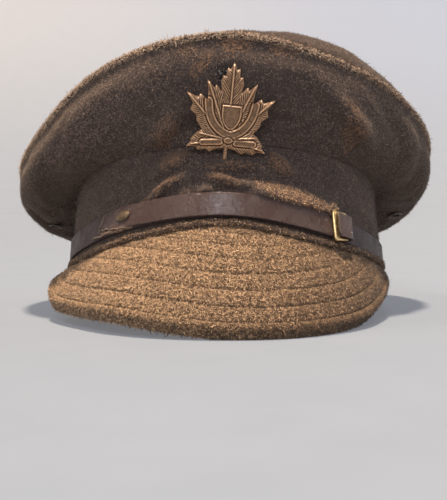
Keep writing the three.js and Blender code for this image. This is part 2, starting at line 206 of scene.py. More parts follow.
def folded(rows, across, up):
    """How far the folds push a face out. across and up turn a row's place into distances."""
    push = 0
    for angle, height, turn, long, wide, out in rows:
        c, s = cos_sin(turn)
        x, y = across(angle), up(height)
        push = push + out * bell(x * c + y * s, long) * bell(y * c - x * s, wide)
    return push


def away(angle, other):
    return (angle - other + 180) % 360 - 180


def band_point(angle, height, out=0):
    low = measure("edge", angle)
    inset = BAND["taper"] * (height - low) / (BAND["height"] - low) - out
    a = np.radians(angle)
    return point((BAND["half_width"] - inset) * np.sin(a),
                 -(BAND["half_length"] - inset) * np.cos(a), height)


def band_normal(angle):
    a = np.radians(angle)
    flat = unit(point(np.sin(a) / BAND["half_width"], -np.cos(a) / BAND["half_length"], 0))
    slope = BAND["taper"] / (BAND["height"] - measure("edge", angle))
    return unit(flat + point(0, 0, slope))


def slack_roll(angle, rise):
    """The roll of slack cloth on the strap's upper edge: 5 mm thick, and taller by the slide"""
    tall = blend(4, 8.5, smooth(0, 25, angle))
    thick = 5.0 * smooth(-1, 14, angle) * smooth(44, 35, angle)
    return thick * bell(rise - 0.2, tall)


def band_face(angle, height):
    """The band's cloth, which bulges in folds just above the chin strap"""
    rise = height - measure("strap", angle) - OVER_STRAP
    folds = folded(BAND_FOLDS, lambda a: away(angle, a) * BAND_ARC, lambda h: height - h)
    folds = np.maximum(folds, 0.35 * folds + slack_roll(angle, rise)) * smooth(-1.7, -0.6, rise)
    return band_point(angle, height) + outward(band_point(angle, 0)) * folds[..., None]


def rim_point(angle):
    r, a = measure("rim", angle), np.radians(angle)
    return point(r * np.sin(a), -r * np.cos(a), measure("height", angle))


def side_point(angle, share):
    """A side panel's face: share 0 at the band's top seam, 1 at the rim"""
    seam = band_point(angle, BAND["height"]) + (0, 0, GAP)
    rim = rim_point(angle)
    out, up = outward(rim - seam), np.array([0.0, 0, 1])
    leave = np.radians(measure("takeoff", angle))[..., None]
    belly, full = measure("belly", angle)[..., None], measure("fullness", angle)[..., None]
    first = seam + out * belly * np.cos(leave) + up * belly * np.sin(leave)
    second = rim - up * full + out * full * 0.2
    s = np.broadcast_to(share, np.shape(angle))[..., None]
    r = 1 - s
    p = seam * r**3 + 3 * first * r**2 * s + 3 * second * r * s**2 + rim * s**3
    along = unit((first - seam) * r**2 + 2 * (second - first) * r * s + (rim - second) * s**2)
    across = out * along[..., 2:] - up * (along * out).sum(-1, keepdims=True)
    push = folded(FOLDS, lambda a: away(angle, a) * SIDE_ARC, lambda h: (share - h) * PANEL_TALL)
    push = push * np.clip(np.minimum(share * 8, (1 - share) * 6), 0, 1)
    return p + across * push[..., None]


def side_normal(angle, share, d=0.01):
    """Which way a side panel faces"""
    across = side_point(angle + d, share) - side_point(angle - d, share)
    along = side_point(angle, share + d) - side_point(angle, share - d)
    return unit(np.cross(across, along))


def top_point(angle, share):
    """The top panel's face: share 0 at the rim, 1 in the middle"""
    rim = rim_point(angle)
    rise = share / CROWN["puff_at"]
    p = rim * (1 - share)[..., None]
    p[..., 2] = blend(rim[..., 2], CROWN["middle"], share * share * (3 - 2 * share))
    p[..., 2] += measure("puff", angle) * rise * np.exp(1 - rise)
    return p


print("rim at the front:", table(rim_point(0)).round(1))

# %% [markdown]
# ## The peak's face
# The peak is a board covered in cloth. Its root follows the band's lower edge and its outer
# edge is a free curve, so the face is ruled between the two and swells a little. A curve
# through the edge's points that slows down in tight turns keeps the corners round.

# %% The peak's edge and face


def curve_through(points, t):
    """A smooth curve through points, with even turns (centripetal), t from 0 to 1"""
    ends = np.vstack([2 * points[0] - points[1], points, 2 * points[-1] - points[-2]])
    place = np.clip(t, 0, 1) * (len(points) - 1)
    k = np.minimum(np.floor(place).astype(int), len(points) - 2)
    w = (place - k)[..., None]
    a, b, c, d = (ends[k + i] for i in range(4))
    da, db, dc = (np.linalg.norm(q - p, axis=-1, keepdims=True) ** 0.5
                  for p, q in ((a, b), (b, c), (c, d)))
    start = ((b - a) / da - (c - a) / (da + db) + (c - b) / db) * db
    stop = ((c - b) / db - (d - b) / (db + dc) + (d - c) / dc) * db
    sag, twist = 3 * (c - b) - 2 * start - stop, 2 * (b - c) + start + stop
    return b + start * w + sag * w**2 + twist * w**3


def run_along(path):
    """The length of a path up to each of its points"""
    return np.concatenate([[0], np.cumsum(np.linalg.norm(np.diff(path, axis=0), axis=1))])


peak_edge = from_table(PEAK_EDGE)
edge_steps = np.linspace(0, 1, 3000)
edge_run = run_along(curve_through(peak_edge, edge_steps))


def at_edge(place):
    """A place on the peak's edge, by its share of the edge's length"""
    return curve_through(peak_edge, np.interp(place, edge_run / edge_run[-1], edge_steps))


def peak_point(place, share):
    """The peak's face: share 0 at the band's lower edge, 1 at the peak's own edge"""
    angle = blend(-PEAK["end"], PEAK["end"], place)
    root = band_point(angle, measure("edge", angle) - GAP)
    p = blend(root, at_edge(place), share[..., None])
    swell = PEAK["bulge"] * np.sin(math.pi * share) * np.sin(math.pi * place)
    return p + band_normal(angle) * swell[..., None]


depth = peak_point(np.array([0.5, 0.5]), np.array([0.0, 1.0]))
print("the peak is", np.linalg.norm(depth[1] - depth[0]).round(1), "mm deep in the middle")

# %% [markdown]
# ## Turning faces into cloth
# A sheet of cloth is two grids, its face and its inside, joined round their edges. Near an
# edge both are drawn together along a quarter circle, so a cut or turned edge is round and a
# seam between two sheets shows as a soft valley, as it does in wool. Rows are closer there.

# %% Grids, sheets and pieces
pieces = {}
DETAIL = {"top": (240, 52), "side": (0.85, 56), "band": (330, 44), "peak": (190, 112)}


def shares(count, fine=(0.07, 0.25, 0.55)):
    """Shares from 0 to 1 in even steps, with finer ones next to both ends"""
    step = 1 / count
    near = np.array(fine) * step
    return np.unique(np.concatenate([np.linspace(0, 1, count + 1), near, 1 - near]).round(9))


def normals(p, closed=False):
    across = np.roll(p, -1, 0) - np.roll(p, 1, 0) if closed else np.gradient(p, axis=0)
    return unit(np.cross(across, np.gradient(p, axis=1)))


def quads(columns, rows, closed=False, first=0, ring=False):
    """Faces of a grid of points, columns by rows. closed joins the last column to the first,
    ring the last row to the first."""
    i = np.arange(columns if closed else columns - 1)[:, None]
    j = np.arange(rows if ring else rows - 1)
    a, b, k = i * rows, (i + 1) % columns * rows, (j + 1) % rows
    return first + np.stack([a + j, b + j, b + k, a + k], -1).reshape(-1, 4)


def edge_distance(p, axis):
    """How far each point of a grid lies from the grid's two ends along an axis"""
    run = np.cumsum(np.linalg.norm(np.diff(p, axis=axis), axis=-1), axis=axis)
    zero = np.zeros_like(np.take(run, [0], axis=axis))
    run = np.concatenate([zero, run], axis=axis)
    return run, np.take(run, [-1], axis=axis) - run


def cloth_sheet(face, inside, closed=False, roll=(1, 1, 1, 1)):
    """Points, faces and outer grid of a sheet. roll gives the radius of its edges: first row,
    last row, first column, last column."""
    middle, half = (face + inside) / 2, (face - inside) / 2
    reach = [*edge_distance(face, 1), *(() if closed else edge_distance(face, 0))]
    for distance, radius in zip(reach, roll):
        if radius:
            t = np.clip(distance / radius, 0, 1)
            half = half * np.maximum(np.sqrt(1 - (1 - t) ** 2), 0.12)[..., None]
    columns, rows = face.shape[:2]
    count = columns * rows
    i, j = np.arange(columns if closed else columns - 1), np.arange(rows - 1)
    rims = [(i * rows + row, (i + 1) % columns * rows + row, way)
            for row, way in ((0, 1), (rows - 1, -1))]
    if not closed:
        rims += [(column * rows + j, column * rows + j + 1, way)
                 for column, way in ((0, -1), (columns - 1, 1))]
    faces = [quads(columns, rows, closed), quads(columns, rows, closed, count)[:, ::-1]]
    faces += [np.stack([a, a + count, b + count, b], -1)[:, ::way] for a, b, way in rims]
    both = np.concatenate([(middle + half).reshape(-1, 3), (middle - half).reshape(-1, 3)])
    return both, np.concatenate(faces), middle + half


def add_piece(name, points, faces, finish, stands_for=(), merge=False, soft=True):
    """A mesh from points of the leaning frame, riding on the one body of the packed model"""
    faces = np.asarray(faces)
    mesh = bpy.data.meshes.new(name)
    mesh.vertices.add(len(points))
    mesh.vertices.foreach_set("co", (table(points) * MM).ravel())
    mesh.loops.add(faces.size)
    mesh.loops.foreach_set("vertex_index", faces.ravel().astype(np.int32))
    mesh.polygons.add(len(faces))
    starts = np.arange(0, faces.size, faces.shape[1], dtype=np.int32)
    mesh.polygons.foreach_set("loop_start", starts)
    mesh.update(calc_edges=True)
    if merge:
        work = bmesh.new()
        work.from_mesh(mesh)
        bmesh.ops.remove_doubles(work, verts=work.verts, dist=1e-6)
        bmesh.ops.recalc_face_normals(work, faces=work.faces)
        work.to_mesh(mesh)
        work.free()
    mesh.polygons.foreach_set("use_smooth", np.full(len(mesh.polygons), soft))
    mesh.materials.append(finish)
    piece = bpy.data.objects.new(name, mesh)
    bpy.context.scene.collection.objects.link(piece)
    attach(piece, "root")
    if stands_for:
        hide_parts(*stands_for)
    pieces[name] = piece
    return piece


print("columns and rows, for the side panels columns a degree:", DETAIL)

# %% [markdown]
# ## Shader maths
# A finish is easier to read as a sum than as a picture of wires. `Wire` wraps one output of a
# node, so `1 - mask * 0.5` adds the Math nodes itself; `Finish.node` makes any other node
# from its type, its settings and what goes into its sockets.

# %% A small language for finishes


class Wire:
    def __init__(self, finish, socket):
        self.finish, self.socket = finish, socket

    def maths(self, operation, *values):
        return self.finish.node("Math", {"operation": operation}, dict(enumerate(values)))

    def __add__(self, other):
        return self.maths("ADD", self, other)

    def __sub__(self, other):
        return self.maths("SUBTRACT", self, other)

    def __rsub__(self, other):
        return self.maths("SUBTRACT", other, self)

    def __mul__(self, other):
        return self.maths("MULTIPLY", self, other)

    __radd__, __rmul__ = __add__, __mul__


class Finish:
    """One material. Its shader's constants are set on the shader itself."""

    def __init__(self, name, **constants):
        self.material = bpy.data.materials.new(name)
        self.material.use_nodes = True
        self.tree = self.material.node_tree
        self.shader = self.tree.nodes["Principled BSDF"]
        self.done(**constants)

    def give(self, node, sockets):
        """Joins wires to a node's sockets, and sets the others. A colour needs no alpha."""
        for key, value in sockets.items():
            socket = node.inputs[key]
            if isinstance(value, Wire):
                self.tree.links.new(value.socket, socket)
            else:
                socket.default_value = (*value, 1) if socket.type == "RGBA" else value

    def node(self, kind, settings=None, sockets=None, output=0):
        node = self.tree.nodes.new("ShaderNode" + kind)
        for key, value in (settings or {}).items():
            setattr(node, key, value)
        self.give(node, sockets or {})
        return Wire(self, node.outputs[output])

    def place(self, stretch=(1, 1, 1), turn=(0, 0, 0)):
        """The place on the cap in millimetres, turned and stretched"""
        here = self.node("TexCoord", output="Object")
        size = tuple(1000 * s for s in stretch)
        return self.node("Mapping", {}, {"Vector": here, "Rotation": turn, "Scale": size})

    def speckle(self, where, size, detail=2.0, rough=0.5):
        """Noise from 0 to 1 with bumps about size millimetres across"""
        return self.node("TexNoise", {}, {
            "Vector": where, "Scale": 1 / size, "Detail": detail, "Roughness": rough})

    def spread(self, value, low, high, to_low=0.0, to_high=1.0):
        return self.node("MapRange", {"interpolation_type": "SMOOTHSTEP"}, {
            "Value": value, "From Min": low, "From Max": high, "To Min": to_low, "To Max": to_high})

    def ramp(self, value, stops):
        wire = self.node("ValToRGB", {}, {"Fac": value})
        ramp = wire.socket.node.color_ramp
        while len(ramp.elements) < len(stops):
            ramp.elements.new(0.5)
        for element, (place, colour) in zip(ramp.elements, stops):
            element.position, element.color = place, (*colour, 1)
        return wire

    def mix(self, factor, a, b):
        return self.node("Mix", {"data_type": "RGBA"}, {0: factor, 6: a, 7: b}, output=2)

    def bump(self, height, strength, distance):
        return self.node("Bump", {}, {
            "Strength": strength, "Distance": distance * MM, "Height": height})

    def done(self, **sockets):
        """Sets the shader's own sockets, by their names in small letters"""
        named = {k.replace("_", " ").title().replace("Ior", "IOR"): v for k, v in sockets.items()}
        self.give(self.shader, named)
        return self.material


def shade(colour, share):
    """A colour made darker, to a share of itself"""
    return tuple(share * c for c in colour)


print("finish maths ready:", [name for name in vars(Finish) if name[0] != "_"])

# %% [markdown]
# ## Wool
# The cloth is a felted serge: brown, tan and near-black fibres are mixed before spinning, so
# from close by it is a heather of flecks and from afar a warm grey-brown. The flecks are short
# streaks in three directions, each a stretched noise. Wide, faint mottling stands for wear and
# dust. The light nap on top is sheen, and fibres modelled later as their own pieces.

# %% The wool finish


def wool(name, dark, middle, light, fleck=1.0):
    f = Finish(name, roughness=0.94, sheen_weight=0.22, sheen_roughness=0.5,
               sheen_tint=(0.86, 0.66, 0.44), specular_ior_level=0.15)
    here = f.place()
    streaks = [f.speckle(f.place((1.0, 0.34, 0.6), turn), 0.62 * fleck, 2.0, 0.6)
               for turn in ((0.3, 0.2, 0.9), (1.2, -0.4, -0.7), (-0.6, 1.1, 0.2))]
    heather = streaks[0] * 0.4 + streaks[1] * 0.34 + streaks[2] * 0.26
    curl = f.speckle(here, 0.9 * fleck, 5.0, 0.75)
    tone = heather * 0.62 + curl * 0.38
    between = tuple(blend(a, b, 0.55) for a, b in zip(dark, middle))
    colour = f.ramp(tone, [(0.36, dark), (0.47, between), (0.53, middle), (0.66, light)])
    mottle = f.spread(f.speckle(here, 17, 3.0, 0.55), 0.36, 0.66)
    dust = f.spread(f.speckle(here, 5.5, 3.0, 0.6), 0.42, 0.7)
    colour = f.mix(mottle * 0.35, colour, shade(middle, 0.62))
    colour = f.mix(dust * 0.16, colour, light)
    depth = tone + f.speckle(here, 2.4, 2.0, 0.5) * 0.4
    return f.done(base_color=colour, normal=f.bump(depth, 0.9, 0.9))


# The crown's copy is darker and greyer and the peak's paler and more golden: one cloth, partly
# painted shade on the crown and painted light on the peak.
crown_wool = wool("wool_crown", (0.029, 0.022, 0.021), (0.074, 0.055, 0.048), (0.17, 0.124, 0.098))
peak_wool = wool("wool_peak", (0.040, 0.026, 0.017), (0.17, 0.112, 0.068), (0.42, 0.29, 0.175))
print("wool finishes:", crown_wool.name, peak_wool.name)

# %% [markdown]
# ## Leather and metal
# The chin strap is bridle leather, dyed red-brown and handled until its raised grain shines.
# Its grain is a field of small cells pressed in between ridges, which Voronoi noise gives.
# The brass is worn: bright where cloth and fingers rub it, olive and dull in its hollows.

# %% Leather, brass, bronze and dark enamel


def leather(name, colour, worn, shine, gloss=0.5):
    f = Finish(name, specular_ior_level=gloss, coat_roughness=0.25)
    here = f.place()
    grain = f.node("TexVoronoi", {"feature": "DISTANCE_TO_EDGE"}, {"Vector": here, "Scale": 1.9})
    pores = f.spread(grain, 0.0, 0.16)
    cloud = f.spread(f.speckle(here, 9, 4.0, 0.6), 0.35, 0.7)
    rub = f.spread(f.speckle(here, 2.2, 5.0, 0.7), 0.5, 0.68)
    base = f.mix(cloud, colour, shade(colour, 0.72))
    base = f.mix(rub * 0.35, base, worn)
    base = f.mix(pores, shade(colour, 0.55), base)
    rough = f.spread(cloud, 0, 1, shine, shine + 0.16) - rub * 0.08
    height = pores * 0.6 + f.speckle(here, 3.5, 3.0, 0.6) * 0.8
    return f.done(base_color=base, roughness=rough, coat_weight=rub * 0.15,
                  normal=f.bump(height, 0.8, 0.5))


def metal(name, bright, dull, rough, attribute=None, pitted=0.5):
    f = Finish(name, ior=1.45)
    here = f.place()
    stain = f.spread(f.speckle(here, 1.6, 5.0, 0.65), 0.4, 0.68)
    scratch = f.spread(f.speckle(f.place((1, 0.08, 1), (0.4, 0.2, 0.6)), 0.25, 2.0, 0.5), 0.55, 0.7)
    dirt_and_glint = stain * pitted
    if attribute:
        worn_and_glint = f.node("Attribute", {"attribute_name": attribute}, output="Fac")
        # For the badge the mask is wear and patina by its relief, with painted glints at some tips.
        dirt_and_glint = f.spread(worn_and_glint - stain * 0.16, 0.0, 0.95, 1.0, 0.0)
    middle = tuple(0.45 * b + 0.55 * d for b, d in zip(bright, dull))
    colour = f.ramp(dirt_and_glint, [(0.0, bright), (0.42, middle), (1.0, dull)])
    roughness = dirt_and_glint * 0.22 + scratch * 0.08 + rough
    height = stain * -0.5 + scratch * -0.3
    return f.done(base_color=colour, metallic=1 - dirt_and_glint * 0.35, roughness=roughness,
                  normal=f.bump(height, 0.25, 0.12))


strap_leather = leather("strap_leather", (0.074, 0.036, 0.029), (0.15, 0.10, 0.082), 0.24, 0.7)
# The under layer is a paler, greyer copy of the strap's leather: painted sheen.
under_leather_painted_sheen = leather("under_leather_painted_sheen", (0.100, 0.070, 0.067), (0.14, 0.105, 0.10), 0.45, 0.3)
torn_leather = leather("torn_leather", (0.42, 0.29, 0.22), (0.58, 0.45, 0.36), 0.75)
slide_brass = metal("slide_brass", (0.84, 0.62, 0.30), (0.44, 0.30, 0.13), 0.27, pitted=0.4)
button_brass = metal("button_brass", (0.62, 0.44, 0.19), (0.24, 0.16, 0.07), 0.34, pitted=0.7)
stud_brass = metal("stud_brass", (0.24, 0.172, 0.105), (0.09, 0.066, 0.045), 0.42, pitted=0.9)
badge_bronze = metal("badge_bronze", (0.74, 0.455, 0.265), (0.070, 0.037, 0.021), 0.27, "worn_and_glint")
eyelet_metal = metal("eyelet_metal", (0.17, 0.138, 0.118), (0.075, 0.060, 0.050), 0.6, pitted=0.9)
# A black disc fills each eyelet's hole: painted shade of the cap's inside.
eyelet_hole_shade = Finish("eyelet_hole_shade", base_color=(0.006, 0.005, 0.005), roughness=0.9,
                     specular_ior_level=0.1)
print("finishes:", [m.name for m in bpy.data.materials])

# %% [markdown]
# ## The crown
# Four side panels and a round top meet at a corded rim seam. On the real cap each panel is cut
# flat and eased in, so the cloth beside a seam puckers; here small waves across the seam,
# which die out within a centimetre, do that. The unevenness of worn wool is drift on top.

# %% The top panel, the side panels and the rim cord
clear = CROWN["cord"] + GAP


def uneven(p, n, slow=0.7, quick=0.25):
    """Handled cloth: slow buckles and small lumps along the normals"""
    return p + n * (slow * drift(p, 19, 1) + quick * drift(p, 6.5, 2))[..., None]


def pucker(angle, distance, p, n, depth=0.5):
    """Small waves square to a seam, dying out away from it"""
    wave = np.sin(np.radians(angle) * 58 + 3 * np.sin(np.radians(angle) * 7)) * 0.6
    wave = wave + np.sin(np.radians(angle) * 91 + 1.3) * 0.4
    wave = wave * np.exp(-distance / 5.0) * (1 - np.exp(-distance / 1.2))
    return p + n * (depth * wave)[..., None]


def add_cloth(name, face, inside, roll, stands_for, closed=False, merge=False,
              finish=crown_wool, way=1):
    """A sheet of cloth as a piece. It gives back the sheet's outer grid."""
    points, faces, skin = cloth_sheet(face, inside, closed, roll)
    add_piece(name, points, faces[:, ::way], finish, stands_for, merge)
    return skin


def add_cord(name, path, radius, sides, lumps, flat=1.0, ends=1.0, stands_for=(), closed=False,
             finish=crown_wool):
    """A round cord along a path, a little lumpy like a covered cord. ends says how it tapers."""
    ahead = np.roll(path, -1, 0) - np.roll(path, 1, 0) if closed else np.gradient(path, axis=0)
    out = unit(np.cross(unit(ahead), (0, 0, 1)))
    up = np.cross(out, unit(ahead))
    turn = around(sides)
    size = (ends * radius * (1 + lumps * drift(path, 3.1, 4)))[:, None, None]
    ring = out[:, None] * np.cos(turn)[:, None] + up[:, None] * np.sin(turn)[:, None] * flat
    grid = path[:, None] + ring * size
    add_piece(name, grid.reshape(-1, 3), quads(len(path), sides, closed, ring=True), finish,
              stands_for, merge=True)
    return np.concatenate([grid, grid[:, :1]], 1)


def top_panel():
    columns, rows = DETAIL["top"]
    v = shares(rows)[None, :] ** 1.15
    angle = np.linspace(-180, 180, columns, endpoint=False)[:, None] + 0 * v
    share = blend(clear / measure("rim", angle), 1.0, v)
    p = top_point(angle, share)
    n = normals(p, closed=True)
    n[:, -2:] = (0, 0, 1)
    distance = share * 122
    crease = 1.5 * drift(p * (1, 1, 0), 36, 5) - 0.8 * np.abs(drift(p * (1, 0.6, 0), 27, 9))
    crease = crease * smooth(8, 40, distance)
    face = uneven(pucker(angle, distance, p, n), n, 0.8, 0.25) + n * crease[..., None]
    inside = p - point(0, 0, 1) * CROWN["wall"]
    for grid in (face, inside):
        grid[:, -1] = grid[:, -2].mean(0)
    return add_cloth("crown_top_cloth", face, inside, (1.1, 0), ["crown_top"], True, True)


def side_panel(name, start, span, nodes):
    margin = math.degrees(GAP / 2 / BAND["half_width"])
    per_degree, rows = DETAIL["side"]
    v, across = shares(rows)[None, :], shares(int(span * per_degree))
    angle = (start + blend(margin, span - margin, across))[:, None] + 0 * v
    p = side_point(angle, v * (1 - clear / 3 / measure("fullness", angle)))
    n = normals(p)
    low, high = edge_distance(p, 1)
    face = uneven(pucker(angle, high, p, n), n)
    face = pucker(angle + 11, low, face, n, 0.35)
    ledge = 1.7 * smooth(4, 12.5, high) - 1.2 * smooth(13, 34, high) - 1.0 * smooth(0, 3, high)
    weaker = 1 - 0.65 * bell(angle - 36, 20)  # where the left fold runs up to it
    face = face + n * (ledge * (0.7 + 0.8 * drift(p, 30, 7)) * weaker)[..., None]
    calm = smooth(0, 3, np.minimum(low, np.minimum(*edge_distance(p, 0))))[..., None]
    pressed = 0.3 * bell(angle, 0.25) * smooth(0, 8, low)  # the seam in front
    face = p + (face - p) * calm - n * pressed[..., None]
    return add_cloth(name + "_cloth", face, p - n * CROWN["wall"], (0.12, 0.9, 0.5, 0.5), nodes)


top_skin = top_panel()
side_skins = [side_panel(*row) for row in (
    ("quarter_back_right", -180, 90, ["quarter_back_right"]),
    ("front_panels", -90, 180, ["quarter_front_right", "quarter_front_left"]),
    ("quarter_back_left", 90, 90, ["quarter_back_left"]))]
cord_path = rim_point(np.linspace(-180, 180, 420, endpoint=False))
cord_path[:, 2] += 0.15 * drift(cord_path, 12, 8)
cord_skin = add_cord("rim_cord_cloth", cord_path, CROWN["cord"], 12, 0.12, stands_for=["rim_cord"],
                     closed=True)
print("crown:", {n: len(o.data.polygons) for n, o in pieces.items()})

# %% [markdown]
# ## The band
# The band is the same wool, wrapped round a stiff liner. Slack cloth has gathered into folds
# over the chin strap, which is the clearest mark of wear on this cap. Where the peak is sewn
# on, the band's lower edge is rolled over the seam and shows as a fuzzy round hem.

# %% The band and its rolled hem


def band_cloth():
    columns, rows = DETAIL["band"]
    v = shares(rows)[None, :]
    angle = np.linspace(-180, 180, columns, endpoint=False)[:, None] + 0 * v
    height = blend(measure("edge", angle), BAND["height"], v)
    p = band_face(angle, height)
    n = normals(p, closed=True)
    free = smooth(0, 3, np.minimum(*edge_distance(p, 1)))
    free = free * smooth(0, 5, height - measure("strap", angle) - 6)
    face = p + (uneven(p, n, 0.4, 0.22) - p) * free[..., None]
    inside = band_point(angle, height) - outward(p) * BAND["wall"]
    return add_cloth("band_cloth", face, inside, (1.3, 0.12), ["band"], True)


def rolled_hem():
    angle = np.linspace(-PEAK["end"] + 1, PEAK["end"] - 1, 300)
    bulge = np.minimum(smooth(0, 12, angle + PEAK["end"]), smooth(0, 12, PEAK["end"] - angle))
    height = measure("edge", angle) + 1.1 + 0.15 * np.sin(np.radians(angle) * 19)
    path = band_point(angle, height, 0.35 + 0.55 * bulge)
    ends = np.concatenate([[0.05, 0.5, 0.8], np.ones(294), [0.8, 0.5, 0.05]])
    return add_cord("band_hem_roll", path, 1.45, 12, 0.16, 1.15, ends)


band_skin, hem_skin = band_cloth(), rolled_hem()
print("band:", len(pieces["band_cloth"].data.polygons), "faces, hem", hem_skin.shape)

# %% [markdown]
# ## The peak
# The peak's cloth is quilted to its board with seven rows of machine stitching that run
# parallel to its edge. Each row pulls a narrow valley and the cloth rises between the rows. A
# row is where the distance to the edge has one value, so the distance is measured for every
# point of the face, and both the valleys and the stitches are laid by it.

# %% The quilted peak
ROWS = (7.8, 15.8, 24.6, 33.6, 42.4, 51, 59)  # millimetres from the peak's edge


def to_edge(p):
    edge = at_edge(np.linspace(0.03, 0.97, 500))
    flat = p.reshape(-1, 3)
    near = np.concatenate([np.sqrt(((part[:, None] - edge) ** 2).sum(-1).min(1))
                           for part in np.array_split(flat, 60)])
    return near.reshape(p.shape[:-1])


def quilted(distance, root):
    """Depth of the stitched valleys and the rise of the cloth between them"""
    rise = -0.95 * sum(bell(distance - row, 0.55) for row in ROWS)
    puff = 0.32 * np.sin(math.pi * np.clip((distance - ROWS[0]) / 8.8, 0, 6.2)) ** 2
    return (rise + puff) * smooth(0.5, 4, root)


def peak_cloth():
    columns, rows = DETAIL["peak"]
    place = blend(0.005, 0.995, shares(columns))[:, None]
    share = shares(rows)[None, :] + 0 * place
    place = place + 0 * share
    p = peak_point(place, share)
    n = -normals(p)
    distance, (root, _) = to_edge(p), edge_distance(p, 1)
    lumps = 0.3 * drift(p, 15, 3) + 0.14 * drift(p, 5, 6)
    turned = 1.5 * bell(distance - 5.2, 2.4) - 2.4 * bell(distance, 2.2)
    turned = turned * smooth(0, 0.12, np.minimum(place, 1 - place))
    face = p + n * (quilted(distance, root) + lumps * smooth(0, 2.2, distance) + turned)[..., None]
    skin = add_cloth("peak_cloth", face, p - n * PEAK["wall"], (0.8, 0.9, 1.2, 1.2), ["peak"],
                     finish=peak_wool, way=-1)
    return skin, -normals(skin), distance, root


peak_skin, peak_normals, peak_distance, peak_root = peak_cloth()
print("peak:", len(pieces["peak_cloth"].data.polygons), "faces; deepest row", ROWS[-1], "mm in")

# %% [markdown]
# The thread is a separate piece: every stitch is a short pod that dips into the cloth at both
# ends. Laid one by one along each row, they catch light where a painted line would not.

# %% The peak's stitches
STITCH = {"every": 3.1, "long": 2.5, "radius": 0.3}


def pods(centres, along, out, length, radius, sides=6):
    """One pod a stitch: rings of points along its length"""
    across = unit(np.cross(out, along))
    rings = [(-0.5, 0.15, -0.9), (-0.3, 0.85, -0.1), (0, 1.0, 0.15), (0.3, 0.85, -0.1),
             (0.5, 0.15, -0.9)]
    turn = around(sides)
    points = []
    for shift, size, lift in rings:
        middle = centres + along * shift * length + out * lift * radius
        points += [middle + radius * size * (across * math.cos(a) + out * math.sin(a))
                   for a in turn]
    points = np.stack(points, 1)
    last = sides * (len(rings) - 1)
    base = np.concatenate([quads(len(rings), sides, ring=True), [
        [0, sides - 1, 2, 1], [2, sides - 1, 4, 3],
        [last, last + 1, last + 2, last + 5], [last + 2, last + 3, last + 4, last + 5]]])
    faces = (np.arange(len(centres)) * points.shape[1])[:, None, None] + base
    return points.reshape(-1, 3), faces.reshape(-1, 4)


def stitch_rows():
    """Where every stitch lies, which way it runs and which way is out of the cloth"""
    spots, ways, outs = [], [], []
    for row in ROWS:
        path, normal = [], []
        for skin, out, distance, root in zip(peak_skin, peak_normals, peak_distance, peak_root):
            inside = np.nonzero((distance > row) & (root > 2.5))[0]
            if len(inside) and inside[-1] + 1 < len(distance):
                j = inside[-1]
                t = (distance[j] - row) / max(distance[j] - distance[j + 1], 1e-6)
                path.append(blend(skin[j], skin[j + 1], t))
                normal.append(out[j])
        run = run_along(path)
        at = np.arange(1.5, run[-1] - 1.5, STITCH["every"])
        line, out = (np.stack([np.interp(at, run, values) for values in np.transpose(rows)], -1)
                     for rows in (path, normal))
        spots.append(line)
        ways.append(unit(np.gradient(line, axis=0)))
        outs.append(unit(out))
    return map(np.concatenate, (spots, ways, outs))


thread = Finish("peak_thread", roughness=0.7, specular_ior_level=0.3)
twist = thread.speckle(thread.place(), 0.35)
thread_colour = thread.ramp(twist, [(0.3, (0.030, 0.020, 0.013)), (0.7, (0.10, 0.066, 0.04))])
thread.done(base_color=thread_colour, normal=thread.bump(twist, 0.5, 0.15))
spots, ways, outs = stitch_rows()
points, faces = pods(spots + outs * 0.12, ways, outs, STITCH["long"], STITCH["radius"])
add_piece("peak_stitching", points, faces, thread.material)
print("stitches:", len(spots))

# %% [markdown]
# ## The chin strap
# The strap is two lengths of leather laid over one another. The upper one is fixed by a stud,
# ends there in a worn, cracked cut, and runs to the slide, where it turns back round the far
# bar. Each length is a rounded ribbon swept along the band, so its edges catch the light.

# %% The strap's two layers
PER_DEGREE = 1.667  # millimetres along the strap for a degree round the band
STRAP = {"width": 12.4, "thick": 1.6, "end": 108, "start": -45}
SLIDE = {"angle": 38.4, "long": 10, "tall": 15.8, "bar": 2, "thick": 1.8, "turn": 3, "slack": 0.4}
low_out = GAP + STRAP["thick"] / 2
high_out = low_out + STRAP["thick"] + GAP
fold_out = (SLIDE["thick"] + STRAP["thick"]) / 2 + GAP * 1.8  # radius of the turn round the bar
CORNERS = ((1, 1, 0), (-1, 1, 90), (-1, -1, 180), (1, -1, 270))  # signs, and where the arc starts


def ribbon_profile(width, thick, corner=0.45):
    """Points all the way round a strip with rounded corners, as pairs of (out, up)"""
    x, y = thick / 2 - corner, width / 2 - corner
    points = []
    for sx, sy, turn in CORNERS:
        arc = np.radians(np.array([8, 30, 60, 82])) + math.radians(turn)
        points += [(sx * x + corner * math.cos(t), sy * y + corner * math.sin(t)) for t in arc]
        if sx == sy:
            points += [(0, sy * (y + corner))]
        else:
            points += [(sx * (x + corner), f * sy * y) for f in (0.85, 0.4, 0, -0.4, -0.85)]
    return np.array(points)


